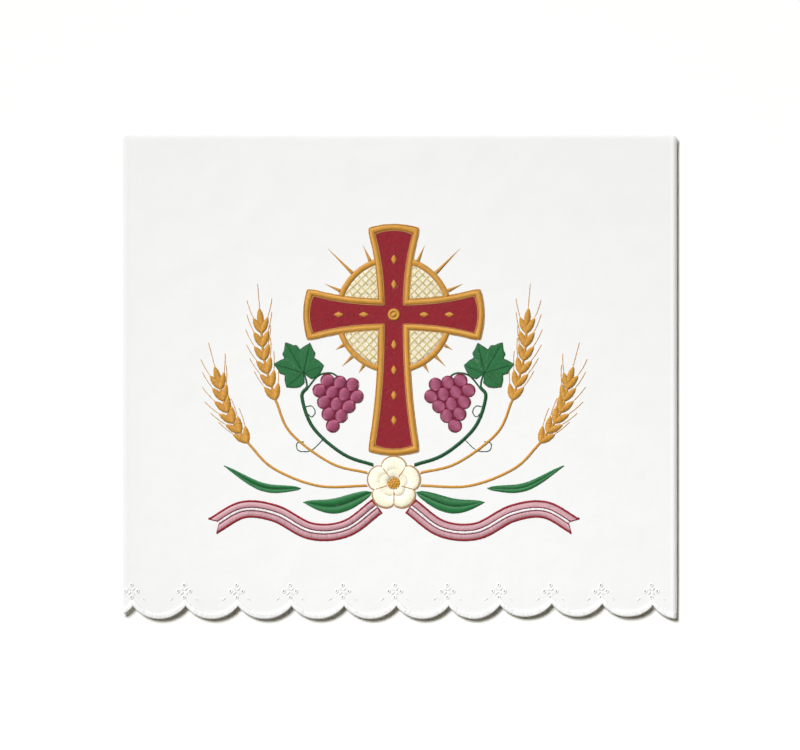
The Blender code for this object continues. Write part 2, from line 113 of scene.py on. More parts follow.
# Soft troughs and ridges of the pressed front: middle, heading in degrees, half length, half width and rise
CREASES = {
    "x": (-0.172, -0.180, -0.120, -0.030, 0.070, 0.150, 0.178, 0.176,
          0.120, 0.020, -0.080, -0.150, 0.190, -0.196, 0.000, 0.100),
    "y": (0.090, -0.020, 0.130, 0.150, 0.142, 0.110, 0.040, -0.060,
          -0.130, -0.146, -0.142, -0.100, -0.120, 0.150, 0.172, 0.060),
    "heading": (24, -8, 62, 96, 78, 38, 6, -18, -52, 88, 64, 32, 12, -40, 4, 48),
    "length": (0.040, 0.030, 0.028, 0.022, 0.030, 0.036, 0.028, 0.034,
               0.024, 0.016, 0.020, 0.030, 0.022, 0.026, 0.070, 0.030),
    "width": (0.009, 0.007, 0.008, 0.007, 0.009, 0.010, 0.007, 0.008,
              0.006, 0.006, 0.007, 0.008, 0.006, 0.008, 0.010, 0.012),
    "rise": (0.00016, -0.00010, 0.00012, -0.00010, 0.00013, -0.00012, 0.00012, 0.00014, -0.00010, 0.00010,
             0.00012, -0.00012, 0.00012, -0.00010, 0.00012, -0.00010),
}
# The middle layer's waves: half height, and how many to a metre along X and Y
LAYER_WAVE = 0.00022
LAYER_WAVES_ACROSS = 9.0
LAYER_WAVES_ALONG = 6.0

# The flat cut's net: triangles over the rim, below RIM_Y, and rows and columns over the rest
RIM_Y = -0.1600
RIM_STATIONS = 24
EDGE_STEPS = 20
HOLE_STEPS = 14
FOLD_STEPS = 8
ROLL_STEPS = 6
NET_SPACING = 0.0034
NET_ROW = NET_SPACING * 0.87
FRONT_SPACING = 0.0040
LOWER_SPACING = 0.0075
# Columns near a side edge and rows near the rear hem, measured in from the edge
SIDE_COLUMNS = (0.0, 0.0004, 0.0009, 0.0014, 0.0020, 0.0027, 0.0034, 0.0041, 0.0048, 0.0056, 0.0066)
HEM_ROWS = (0.0015, 0.0005, 0.0)
# How far the net's points keep from the cut edge, and how far the columns near a side edge do
EDGE_CLEARANCE = 0.0024
COLUMN_CLEARANCE = 0.0008
# Points that are closer than this are one
SAME_PLACE = 1e-7
# How far inside the edging's outline the linen is cut, and from which angle on an edge of it is sharp
CUT_INSET = 0.0005
CUT_FACE_ANGLE = math.radians(50)

# Where a stitch's points lie along it: laid across a band, in a fill, and in a line
BAND_STATIONS = (0.0, 0.13, 0.5, 0.87, 1.0)
FILL_STATIONS = (0.0, 0.08, 0.92, 1.0)
FILL_HEIGHTS = (0.15, 1.0, 1.0, 0.15)
# How far a needle point dips into the linen
DIP = 0.00012
# A band narrower than this is raised less
FULL_PAD_SPAN = 0.0030
# In a filled area: the shortest stitch, how far each row is shifted, and how far a stitch runs past its end
SHORTEST = 0.0009
STAGGER = 0.37
NEEDLE_OVERLAP = 0.00028
# How unevenly the stitches of one piece are shaded
TONE_SPREAD = 0.22
THREAD_SIDES = 5
# The edging's stitches on the linen: how far across it, and how high as a share of the padding
EDGING_RISES = ((0.12, 0.8), (0.50, 1.0), (0.88, 1.1))
EDGING_POINTS = 41
UP = np.array([0.0, 0.0, 1.0])

# How far the cross's field runs in under its border and under its boss
FIELD_TUCK = 0.0006
BOSS_TUCK = 0.0004
LATTICE_HEADINGS = (45, 135)

# The wheat, vine, leaves and ribbon: routes of the left half, from the rose outwards
INNER_STALK = ((-0.0206, -0.0698), (-0.0500, -0.0620), (-0.0820, -0.0380), (-0.0940, -0.0120))
INNER_EAR = ((-0.0940, -0.0120), (-0.1030, 0.0200), (-0.1060, 0.0520))
OUTER_STALK = ((-0.0208, -0.0798), (-0.0600, -0.0800), (-0.0960, -0.0660), (-0.1160, -0.0460))
OUTER_EAR = ((-0.1160, -0.0460), (-0.1320, -0.0220), (-0.1400, 0.0060))
KERNEL_SHAPE = {
    "along": (0.0, 0.10, 0.25, 0.50, 0.75, 0.90, 1.0),
    "half": (0.0, 0.25, 0.43, 0.50, 0.36, 0.18, 0.0),
}
VINE = ((-0.0158, -0.0637), (-0.0400, -0.0550), (-0.0640, -0.0340), (-0.0730, -0.0100), (-0.0690, -0.0020))
LEAF_STALK = ((-0.0690, -0.0030), (-0.0695, 0.0030), (-0.0718, 0.0098))
GRAPE_STALK = ((-0.0690, -0.0030), (-0.0600, 0.0075), (-0.0500, 0.0095), (-0.0436, 0.0060))
TENDRILS = (
    ((-0.0722, -0.0180), (-0.0655, -0.0165), (-0.0625, -0.0215), (-0.0655, -0.0255), (-0.0685, -0.0225)),
    ((-0.0560, -0.0430), (-0.0660, -0.0520), (-0.0760, -0.0520), (-0.0770, -0.0460), (-0.0715, -0.0450)),
)
# Half of the vine leaf's outline, from its tip, and which of its points are a lobe's tip or a notch
VINE_LEAF = {
    "angle": (0, 12, 20, 27, 38, 50, 62, 72, 80, 96, 112, 130, 146, 163, 176),
    "reach": (1.0, 0.80, 0.78, 0.62, 0.72, 0.90, 0.74, 0.70, 0.55, 0.64, 0.76, 0.66, 0.60, 0.48, 0.16),
}
LOBE_TIPS = (0, 5, 10)
LOBE_NOTCHES = (3, 8)
# Angle between the vine leaf's stitches and the vein of their lobe
LOBE_LEAN = math.radians(38)
AWN_POINTS = 8
LONG_LEAF = ((-0.0176, -0.0850), (-0.0460, -0.0960), (-0.0720, -0.0930))
BLADE = ((-0.0740, -0.0820), (-0.1040, -0.0810), (-0.1350, -0.0640))
LEAF_LEAN = 0.85
LEAF_FULLNESS = 0.75
RIBBON = ((-0.0137, -0.0965), (-0.0380, -0.1140), (-0.0660, -0.1160), (-0.0940, -0.1020),
          (-0.1200, -0.0990), (-0.1440, -0.1120))
GRAPE_ROWS = (3, 4, 3, 2, 1)
# The grapes on the outside of a bunch, in order round it
OUTER_GRAPES = (0, 2, 6, 9, 11, 12, 10, 7, 3)
FLARE_POWER = 2.4
UPPER_RAYS = {"angle": (24, 45, 66), "tip": (0.0600, 0.0740, 0.0600)}
LOWER_RAYS = {"angle": (31, 45, 59), "tip": (0.0540, 0.0580, 0.0540)}
PETAL_FULLNESS = 0.45
# The two halves of the emblem, and whether what is sewn there is mirrored
SIDES = (("left", False), ("right", True))


# Properties

def length(name, description, default):
    return bpy.props.FloatProperty(name=name, description=description, default=default, unit="LENGTH",
                                   precision=5)


def plain_number(name, description, default):
    return bpy.props.FloatProperty(name=name, description=description, default=default, precision=3)


def angle(name, description, default):
    return bpy.props.FloatProperty(name=name, description=description, default=default, subtype="ANGLE")


def count(name, description, default):
    return bpy.props.IntProperty(name=name, description=description, default=default, min=1)


def colour(name, description, default):
    return bpy.props.FloatVectorProperty(name=name, description=description, default=default, size=3,
                                         subtype="COLOR", min=0.0, max=1.0)


class LinenProperties(bpy.types.PropertyGroup):
    """The cloth itself"""

    thickness: length("Thickness", "How thick the starched linen is", 0.0006)
    weave: length("Weave", "From one thread of the weave to the next but one", 0.0009)
    weave_depth: length("Weave depth", "How deep the weave is between its threads", 0.000035)
    colour: colour("Colour", "Bleached linen", (0.800, 0.800, 0.800))
    roughness: plain_number("Roughness", "How matt the linen is", 0.82)
    mottle: plain_number("Mottle", "How much lighter or darker the linen is in its faint patches", 0.030)
    patches: plain_number("Patches", "How many faint patches there are to a metre", 38.0)
    slubs: plain_number("Slubs", "How many uneven threads there are to a metre", 900.0)
    slub_turns: plain_number("Slub turns", "How often such a thread thickens in a metre", 26.0)
    cockle: length("Cockle", "Height of the linen's soft unevenness", 0.0008)


class ThreadProperties(bpy.types.PropertyGroup):
    """The embroidery thread and how it is laid"""

    width: length("Width", "Width of a laid thread", 0.00054)
    height: length("Height", "Height of a laid thread", 0.00040)
    spacing: length("Spacing", "From one thread to the next in a close stitched area", 0.00046)
    stitch: length("Stitch", "Length of one stitch in a filled area", 0.0042)
    line_stitch: length("Line stitch", "Length of one stitch in a line", 0.0024)
    unevenness: plain_number("Unevenness", "How much a thread's width and height vary", 0.07)
    wobble: length("Wobble", "How far a needle point strays", 0.00007)
    twist: length("Twist", "Length of one turn of the thread's ply", 0.0011)
    ply_depth: length("Ply depth", "How deep it is between the turns of the ply", 0.00004)
    roughness: plain_number("Roughness", "How dull the rayon thread is", 0.42)
    sheen: plain_number("Sheen", "Soft glow of the thread's fibres", 0.05)
    tone: plain_number("Tone", "How much lighter and darker single stitches are", 0.13)


class ColourProperties(bpy.types.PropertyGroup):
    """Thread colours"""

    white_thread: colour("White", "Scallops, eyelets and the ribbon's stripe", (0.85, 0.85, 0.85))
    gold_thread: colour("Gold", "Cross, ring and wheat", (0.60, 0.30, 0.045))
    straw_thread: colour("Straw", "Lines of the lattice", (0.66, 0.52, 0.22))
    tan_thread: colour("Tan", "Outlines of the rose", (0.52, 0.27, 0.085))
    crimson_thread: colour("Crimson", "Field of the cross and edges of the ribbon", (0.29, 0.006, 0.017))
    wine_thread: colour("Wine", "Outlines of the grapes and the stripe", (0.20, 0.005, 0.032))
    cream_thread: colour("Cream", "Lattice ground and rose", (0.92, 0.85, 0.68))
    pink_thread: colour("Dusty pink", "Ribbon", (0.58, 0.34, 0.375))
    mauve_thread: colour("Mauve", "Grapes", (0.36, 0.080, 0.16))
    green_thread: colour("Green", "Leaves", (0.022, 0.17, 0.050))
    dark_green_thread: colour("Dark green", "Stems, veins and leaf edges", (0.007, 0.085, 0.025))


class EdgingProperties(bpy.types.PropertyGroup):
    """Stitched edging of the scallops"""

    width: length("Width", "Width of the edging at the middle of a scallop", 0.0046)
    cusp_width: length("Cusp width", "Width of the edging where two scallops meet", 0.0050)
    lap: length("Lap", "How far the stitches reach back under the linen", 0.0030)
    pad: length("Pad", "How high the edging is raised", 0.00020)
    overhang: length("Overhang", "How far the stitches stand out from the cut", 0.00055)
    thread: length("Thread", "Width of the edging's thread", 0.00060)


class EyeletProperties(bpy.types.PropertyGroup):
    """Flower of eyelets above each cusp"""

    shift: length("Shift", "How far the flower is to the right of its cusp", -0.0012)
    height: length("Height", "Where the flower's middle is, along Y", -0.1708)
    reach: length("Reach", "From the flower's middle to the middle of a hole", 0.0048)
    holes: count("Holes", "Number of holes in a flower", 4)
    hole: length("Hole", "Radius of a hole", 0.00056)
    rim: length("Rim", "Width of the stitching round a hole", 0.0012)
    pad: length("Pad", "How high the stitching is raised", 0.00006)
    petal_start: length("Petal start", "From a flower's middle to the start of a petal", 0.0006)
    petal_end: plain_number("Petal end", "Where a petal ends, as a share of the reach", 0.86)
    leaf: length("Leaf", "Length of the two small leaves beside a flower", 0.0034)
    leaf_turn: angle("Leaf turn", "How far the small leaves turn down, outwards", math.radians(38))
    leaf_across: length("Leaf across", "From a flower's middle to its leaves, along X", 0.0098)
    leaf_down: length("Leaf down", "From a flower's middle down to its leaves", 0.0062)


class EmblemProperties(bpy.types.PropertyGroup):
    """Place of the emblem on the front"""

    across: length("Across", "The emblem's middle along X", -0.0050)
    up: length("Up", "The emblem's middle along Y", -0.0070)


class CrossProperties(bpy.types.PropertyGroup):
    """Cross with flared arms"""

    height: length("Height", "Crossing, above the emblem's middle", 0.0560)
    arm: length("Arm", "Reach of the upper arm and the side arms", 0.0640)
    foot: length("Foot", "Reach of the lower arm", 0.1040)
    waist: length("Waist", "Half width of an arm at the crossing", 0.0075)
    flare: length("Flare", "Half width of an arm at its end", 0.0150)
    bulge: length("Bulge", "How far an arm's end is curved out", 0.0030)
    border: length("Border", "Width of the gold border", 0.0046)
    boss: length("Boss", "Radius of the boss at the crossing", 0.0050)
    boss_core: plain_number("Boss core", "Radius of the boss's core, as a share of the boss", 0.42)
    pad: length("Pad", "How high the border is raised", 0.00085)
    outline: length("Outline", "Width of the line on each side of the border", 0.0006)
    outline_rise: length("Outline rise", "How far that line is raised and stands out", 0.0002)
    lozenge: length("Lozenge", "Half length of the small gold lozenges along the arms", 0.0042)
    lozenge_width: plain_number("Lozenge width", "Width of a lozenge, as a share of its length", 0.62)
    lozenge_pad: length("Lozenge pad", "How high a lozenge is raised", 0.0006)
    lozenge_start: length("Lozenge start", "From the crossing to the first lozenge", 0.0240)
    lozenge_step: length("Lozenge step", "From one lozenge to the next", 0.0200)
    lozenge_end: length("Lozenge end", "Least distance from a lozenge to the arm's end", 0.0100)


class RingProperties(bpy.types.PropertyGroup):
    """Lattice roundel behind the cross, its ring and its rays"""

    field: length("Field", "Radius of the lattice ground", 0.0415)
    inner: length("Inner", "Inner radius of the ring", 0.0418)
    outer: length("Outer", "Outer radius of the ring", 0.0470)
    lattice: length("Lattice", "From one line of the lattice to the next", 0.0046)
    ray: angle("Ray", "Half of the angle that a ray spans at the ring", math.radians(1.9))
    pad: length("Pad", "How high the ring is raised", 0.00070)


class WheatProperties(bpy.types.PropertyGroup):
    """Ears of wheat"""

    stalk: length("Stalk", "Width of a stalk", 0.0022)
    kernel_length: length("Kernel length", "Length of one kernel", 0.0140)
    kernel_width: length("Kernel width", "Width of one kernel", 0.0060)
    spread: angle("Spread", "Angle between a kernel and its ear", 0.42)
    pairs: count("Pairs", "Pairs of kernels in an ear", 6)
    slant: length("Slant", "How far a kernel's stitches run forward", 0.0016)
    stalk_slant: length("Stalk slant", "How far a stalk's stitches run forward", 0.0012)
    pad: length("Pad", "How high a kernel is raised", 0.00065)
    stalk_pad: length("Stalk pad", "How high a stalk is raised", 0.0004)
    awn: length("Awn", "Length of the bristle at a kernel's tip", 0.0150)
    awn_width: length("Awn width", "Width of the line of stitches along a bristle", 0.0003)
    awn_bend: plain_number("Awn bend", "How far a bristle bends back, as a share of the spread", 0.55)
    tip_awn: plain_number("Tip awn", "How much longer the bristle at the ear's tip is", 1.3)


class VineProperties(bpy.types.PropertyGroup):
    """Vine stem, vine leaf, long leaf and wheat blade"""

    stem: length("Stem", "Width of the vine", 0.0030)
    stem_pad: length("Stem pad", "How high the vine is raised", 0.0006)
    stem_slant: length("Stem slant", "How far the vine's stitches run forward", 0.0010)
    stalk: length("Stalk", "Width of the vine leaf's stalk and the grapes' stalk", 0.0016)
    stalk_pad: length("Stalk pad", "How high those stalks are raised", 0.0004)
    stalk_slant: length("Stalk slant", "How far the stalks' stitches run forward", 0.0008)
    tendril: length("Tendril", "Width of a tendril", 0.0005)
    leaf_across: length("Leaf across", "Vine leaf's middle along X", -0.0740)
    leaf_up: length("Leaf up", "Vine leaf's middle along Y", 0.0130)
    leaf_size: length("Leaf size", "Vine leaf's reach from its middle to its tip", 0.0240)
    leaf_turn: angle("Leaf turn", "Direction of the vine leaf's tip", math.radians(120))
    long_leaf: length("Long leaf", "Width of the long leaf", 0.0130)
    blade: length("Blade", "Width of the wheat's blade", 0.0070)
    vein: length("Vein", "Width of a vein or a leaf's edge", 0.0009)
    slant: length("Slant", "How far a leaf's stitches run forward from its spine", 0.0042)
    pad: length("Pad", "How high a long leaf or a blade is raised", 0.00045)


class GrapesProperties(bpy.types.PropertyGroup):
    """Bunches of grapes"""

    across: length("Across", "Top row's middle along X", -0.0430)
    up: length("Up", "Top row's middle along Y", 0.0020)
    tilt: angle("Tilt", "How far the bunch leans", -0.16)
    pitch: length("Pitch", "From one grape to the next", 0.0100)
    radius: length("Radius", "Radius of a grape", 0.0047)
    outline: length("Outline", "Width of the line round a grape", 0.0008)
    pad: length("Pad", "How high a grape is raised", 0.00070)


class RoseProperties(bpy.types.PropertyGroup):
    """Rose where the stems meet"""

    height: length("Height", "Rose's middle along Y, from the emblem's middle", -0.0780)
    size: length("Size", "Reach of a petal", 0.0215)
    petals: count("Petals", "Number of petals", 5)
    heart: plain_number("Heart", "Reach between two petals, as a share of the size", 0.70)
    centre: length("Centre", "Radius of the rose's centre", 0.0048)
    outline: length("Outline", "Width of the line round the rose", 0.0008)
    parting: length("Parting", "Width of the line between two petals", 0.0007)
    knot: length("Knot", "Radius of a knot of the centre", 0.0007)
    knot_height: length("Knot height", "Height of a knot", 0.0010)
    pad: length("Pad", "How high a petal or the centre is raised", 0.00060)


class RibbonProperties(bpy.types.PropertyGroup):
    """Swallow-tailed ribbons"""

    width: length("Width", "Width of the ribbon", 0.0140)
    edge: length("Edge", "Width of each crimson edge", 0.0017)
    stripe: length("Stripe", "Width of the white stripe", 0.0030)
    line: length("Line", "Width of the line on each side of the stripe", 0.0006)
    notch: length("Notch", "Depth of the cut in its end", 0.0070)
    slant: length("Slant", "How far the pink stitches run forward", 0.0014)
    pad: length("Pad", "How high the ribbon is raised", 0.00040)
    edge_rise: length("Edge rise", "How much higher the crimson edges are", 0.0003)


class StageProperties(bpy.types.PropertyGroup):
    """Floor, light and camera"""

    floor: length("Floor", "Side of the floor", 16.0)
    floor_colour: colour("Floor colour", "Plain pale floor", (0.97, 0.96, 0.925))
    sun: plain_number("Sun", "Strength of the key light", 4.12)
    sun_colour: colour("Sun colour", "Cool, against the warm light from all round", (0.970, 0.979, 1.0))
    sun_angle: angle("Sun angle", "How soft the key light is", math.radians(26))
    lean_right: plain_number("Lean right", "How far shadows fall to the right for each metre of height", 0.52)
    lean_down: plain_number("Lean down", "How far shadows fall towards the scallops for each metre", 0.64)
    helper: plain_number("Helper", "Strength of the lamp that brightens the cloth's lower half", 48.0)
    helper_distance: length("Helper distance", "From that lamp to the cloth", 3.0)
    helper_reach: length("Helper reach", "Radius of that lamp's pool of light", 0.36)
    helper_x: length("Helper X", "Middle of its pool along X", 0.045)
    helper_y: length("Helper Y", "Middle of its pool along Y", -0.170)
    fill: plain_number("Fill", "Strength of the light from all round", 0.11)
    fill_colour: colour("Fill colour", "Warm light from all round", (1.0, 0.90, 0.60))
    backdrop: plain_number("Backdrop", "How bright the studio looks past the floor", 0.92)
    view_width: length("View width", "Width of the view at the cloth", 0.6358)
    distance: length("Distance", "Height of the camera above the cloth", 3.0)
    centre_x: length("Centre X", "Middle of the view along X", -0.0001)
    centre_y: length("Centre Y", "Middle of the view along Y", 0.0010)


class AltarClothProperties(bpy.types.PropertyGroup):
    """Sizes and colours of the altar cloth"""

    linen: bpy.props.PointerProperty(type=LinenProperties)
    thread: bpy.props.PointerProperty(type=ThreadProperties)
    colours: bpy.props.PointerProperty(type=ColourProperties)
    edging: bpy.props.PointerProperty(type=EdgingProperties)
    eyelets: bpy.props.PointerProperty(type=EyeletProperties)
    emblem: bpy.props.PointerProperty(type=EmblemProperties)
    cross: bpy.props.PointerProperty(type=CrossProperties)
    ring: bpy.props.PointerProperty(type=RingProperties)
    wheat: bpy.props.PointerProperty(type=WheatProperties)
    vine: bpy.props.PointerProperty(type=VineProperties)
    grapes: bpy.props.PointerProperty(type=GrapesProperties)
    rose: bpy.props.PointerProperty(type=RoseProperties)
    ribbon: bpy.props.PointerProperty(type=RibbonProperties)
    stage: bpy.props.PointerProperty(type=StageProperties)


# Finishes

class Term:
    """A socket of a shader, on which arithmetic adds Math nodes."""

    def __init__(self, shader, socket):
        self.shader = shader
        self.socket = socket

    def math(self, operation, *values):
        return self.shader.add("Math", {"operation": operation}, dict(enumerate(values)))

    def __add__(self, other):
        return self.math("ADD", self, other)

    def __radd__(self, other):
        return self.math("ADD", other, self)

    def __mul__(self, other):
        return self.math("MULTIPLY", self, other)

    def __rmul__(self, other):
        return self.math("MULTIPLY", other, self)

    def size(self):
        return self.math("ABSOLUTE", self)

    def sine(self):
        return self.math("SINE", self)

    def cosine(self):
        return self.math("COSINE", self)


class Shader:
    """The nodes of a finish or of the world."""

    def __init__(self, owner):
        owner.use_nodes = True
        self.owner = owner
        self.tree = owner.node_tree

    def add(self, kind, settings=None, values=None, output=0):
        """Adds a node: its settings first, then the values or links of its sockets."""
        node = self.tree.nodes.new("ShaderNode" + kind)
        for setting, value in (settings or {}).items():
            setattr(node, setting, value)
        for socket, value in (values or {}).items():
            self.feed(node.inputs[socket], value)
        return Term(self, node.outputs[output])

    def feed(self, socket, value):
        if isinstance(value, Term):
            self.tree.links.new(value.socket, socket)
        else:
            socket.default_value = value

    def surface(self, **values):
        """Sets or links sockets of the finish's own surface shader, named with _ for each space."""
        surface = self.tree.nodes["Principled BSDF"]
        for socket, value in values.items():
            self.feed(surface.inputs[socket.replace("_", " ")], value)

    def mix(self, factor, first, second):
        """A colour between two colours, whose sockets have the same names as those for numbers."""
        return self.add("Mix", {"data_type": "RGBA"}, {"Factor": factor, 6: first, 7: second}, output=2)

    def parts(self, vector):
        """The three numbers of a vector."""
        node = self.add("SeparateXYZ", None, {"Vector": vector}).socket.node
        return [Term(self, output) for output in node.outputs]


def shaded(tint, factor):
    """A colour made lighter or darker, with full alpha."""
    return (*(min(1.0, channel * factor) for channel in tint), 1.0)


def linen_finish(looks):
    """Bleached plain weave: fine crossing threads, uneven ones among them, and faint patches."""
    linen = looks.linen
    shader = Shader(bpy.data.materials.new("starched linen"))
    place = shader.add("Attribute", {"attribute_name": "flat"}, output="Vector")
    across, along, _ = shader.parts(place)
    turn = 2 * math.pi / linen.weave
    checks = (across * turn).sine() * (along * turn).sine()
    scales = (linen.slubs, linen.slub_turns, 1.0), (linen.slub_turns, linen.slubs, 1.0)
    ways = [shader.add("Mapping", None, {"Vector": place, "Scale": scale}) for scale in scales]
    warp, weft = (shader.add("TexNoise", None, {"Vector": way, "Scale": 1.0, "Detail": 2.0}) for way in ways)
    slub = warp + weft
    patches = shader.add("TexNoise", None, {"Vector": place, "Scale": linen.patches, "Detail": 3.0})
    light, dark = (shaded(linen.colour, 1.0 + change) for change in (linen.mottle, -linen.mottle))
    tint = shader.mix(patches * 0.6 + slub * 0.2, light, dark)
    relief = checks.size() + checks * 0.25 + slub * 0.5 + patches * (linen.cockle / linen.weave_depth)
    bump = shader.add("Bump", None, {"Height": relief, "Strength": 0.6, "Distance": linen.weave_depth})
    shader.surface(Base_Color=tint, Roughness=linen.roughness, Normal=bump)
    shader.surface(Sheen_Weight=0.15, Sheen_Roughness=0.6, Specular_IOR_Level=0.25)
    return shader.owner


def thread_finish(looks, colour_name):
    """Rayon thread: each stitch a little lighter or darker, with the turns of its ply."""
    name = colour_name.replace("_", " ")
    if name in bpy.data.materials:
        return bpy.data.materials[name]
    thread = looks.thread
    tint = getattr(looks.colours, colour_name)
    shader = Shader(bpy.data.materials.new(name))
    tone = shader.add("Attribute", {"attribute_name": "tone"}, output="Fac")
    round_x, round_z, run = shader.parts(shader.add("Attribute", {"attribute_name": "ply"}, output="Vector"))
    turn = run * (2 * math.pi / thread.twist)
    ply = turn.sine() * round_x + turn.cosine() * round_z
    bump = shader.add("Bump", None, {"Height": ply, "Strength": 0.5, "Distance": thread.ply_depth})
    shade = shader.mix(tone, shaded(tint, 1.0 - thread.tone), shaded(tint, 1.0 + thread.tone))
    shader.surface(Base_Color=shade, Roughness=thread.roughness, Normal=bump)
    shader.surface(Sheen_Weight=thread.sheen, Sheen_Roughness=0.4, Specular_IOR_Level=0.4)
    return shader.owner


# Lines and shapes in the plane

def unit(vectors):
    return vectors / np.maximum(np.linalg.norm(vectors, axis=-1, keepdims=True), 1e-12)


def run_of(path):
    """How far along a path each of its points is."""
    return np.concatenate([[0.0], np.cumsum(np.linalg.norm(np.diff(path, axis=0), axis=1))])


def at_places(path, run, places):
    return np.stack([np.interp(places, run, path[:, axis]) for axis in range(path.shape[1])], axis=-1)


def resampled(path, points, start=0.0, end=None):
    """Evenly spaced points along a path, or along a stretch of it."""
    path = np.asarray(path, float)
    run = run_of(path)
    return at_places(path, run, np.linspace(start, run[-1] if end is None else end, points))


def smooth_path(points, steps=8):
    """Points along a smooth curve through the given ones."""
    given = np.array(points, float)
    given = np.vstack([2 * given[0] - given[1], given, 2 * given[-1] - given[-2]])
    path = []
    for before, start, end, after in zip(given, given[1:], given[2:], given[3:]):
        for t in np.arange(steps) / steps:
            path.append(
                start
                + 0.5 * t * (end - before)
                + t * t * (before - 2.5 * start + 2 * end - 0.5 * after)
                + t**3 * (1.5 * (start - end) + 0.5 * (after - before))
            )
    path.append(given[-2])
    return np.array(path)


def directions(path):
    return unit(np.gradient(path, axis=0))


def sideways(path):
    return directions(path) @ np.array([[0.0, 1.0], [-1.0, 0.0]])


def polar(radius, turn, centre=(0.0, 0.0)):
    return np.stack([centre[0] + radius * np.cos(turn), centre[1] + radius * np.sin(turn)], axis=-1)


def turned(turn):
    """Matrix that turns a row of points anticlockwise."""
    return np.array([[math.cos(turn), math.sin(turn)], [-math.sin(turn), math.cos(turn)]])


def circle(radius, centre, points=32):
    return polar(radius, 2 * math.pi * np.arange(points) / points, centre)


def closed(loop):
    return np.vstack([loop, loop[:1]])


# The linen's lie

def droop(y):
    """How far the free rim sinks at Y, in front of the lower fold."""
    share = np.clip((LOWER_FOLD_Y - y) / (LOWER_FOLD_Y + TOP), 0.0, None)
    return RIM_DROOP * share**DROOP_POWER


def edge_lift(x):
    """How far the scalloped edge is lifted along X, where the cut runs a little short."""
    return np.interp(x, EDGE_LIFT["x"], EDGE_LIFT["lift"])


def right_roll(x, y):
    """Share of the right side's roll at a place: full at the edge, and less next to the top fold."""
    down = np.clip((TOP - y) / FULL_ROLL, 0.0, 1.0)
    return np.clip(1 - (HALF_WIDTH - x) / RIGHT_ROLL, 0.0, 1.0) ** ROLL_POWER * down * (2 - down)


def rolled_in(x, y):
    """X of the front layer's points, drawn in where the right side rolls down."""
    return x - RIGHT_PULL * right_roll(x, y)


def front_lift(x, y):
    """How far the front layer stands above its flat place."""
    from_left = np.clip(1 - (x + HALF_WIDTH) / LEFT_ROLL, 0.0, 1.0)
    from_top = np.clip(1 - (TOP - FOLD_REACH - y) / TOP_ROLL, 0.0, 1.0)
    into_hem = np.clip((np.abs(x) - HALF_WIDTH + HEM_WIDTH) / HEM_STEP + 0.5, 0.0, 1.0)
    lift = HEM_RISE * into_hem**2 * (3 - 2 * into_hem)
    lift = lift - LEFT_DROP * from_left**2 - RIGHT_DROP * right_roll(x, y) - TOP_DROP * from_top**2
    lift = lift + RIDGE_RISE * np.exp(-(((HALF_WIDTH - RIDGE_IN - x) / RIDGE_WIDTH) ** 2))
    for middle_x, middle_y, heading, long, wide, rise in zip(*CREASES.values()):
        way = math.radians(heading)
        along = (x - middle_x) * math.cos(way) + (y - middle_y) * math.sin(way)
        across = (y - middle_y) * math.cos(way) - (x - middle_x) * math.sin(way)
        lift = lift + rise * np.exp(-((along / long) ** 2) - (across / wide) ** 2)
    return lift


def linen_top(x, y):
    return FRONT_TOP_Z - droop(y) + front_lift(x, y)


def fold_stations(centre_y, reach, upper_z, lower_z):
    """Places round a fold: Y, Z, and how much of the way down each one is."""
    turn = np.linspace(0.0, math.pi, FOLD_STEPS + 1)[1:-1]
    down = (1 - np.cos(turn)) / 2
    return centre_y + reach * np.sin(turn), upper_z + (lower_z - upper_z) * down, down


def section(thickness):
    """The sheet's middle line from its front edge to its rear hem.

    Columns: Y, Z, and how far it belongs to the front layer, to the middle layer and to the bottom one.
    """
    half = thickness / 2
    front_z, bottom_z = FRONT_TOP_Z - half, half
    middle_z = (front_z + bottom_z) / 2
    top_y = TOP - half - FOLD_REACH
    low_y = LOWER_FOLD_Y + half + FOLD_REACH
    top_fold = zip(*fold_stations(top_y, FOLD_REACH, front_z, middle_z))
    low_fold = zip(*fold_stations(low_y, -FOLD_REACH, middle_z, bottom_z))
    rim = np.linspace(-TOP - SCALLOP_DEPTH, LOWER_FOLD_Y, RIM_STATIONS)
    rows = [(y, front_z - droop(y), 1.0, 0.0, 0.0) for y in rim]
    rows += [(top_y, front_z, 1.0, 0.0, 0.0)]
    rows += [(y, z, 1 - down, down, 0.0) for y, z, down in top_fold]
    rows += [(top_y, middle_z, 0.0, 1.0, 0.0), (low_y, middle_z, 0.0, 1.0, 0.0)]
    rows += [(y, z, 0.0, 1 - down, down) for y, z, down in low_fold]
    rows += [(low_y, bottom_z, 0.0, 0.0, 1.0), (REAR_HEM_Y, bottom_z, 0.0, 0.0, 1.0)]
    return np.array(rows)


def run_at(y, stations, run):
    """How far along the sheet the front layer's points at Y are."""
    front = slice(RIM_STATIONS + 1)
    return np.interp(y, stations[front, 0], run[front])


def measured_section(thickness):
    """The section's rows, and how far along the sheet each one is from the scallops' lows."""
    stations = section(thickness)
    run = run_of(stations[:, :2])
    return stations, run - run_at(-TOP, stations, run)


def half_width(y, thickness):
    """Half the cloth's width at Y, drawn in where the corners at the top fold are rounded."""
    into = np.clip(y + thickness / 2 - (TOP - CORNER_RADIUS), 0.0, CORNER_RADIUS)
    return HALF_WIDTH - CORNER_RADIUS + np.sqrt(CORNER_RADIUS**2 - into**2)


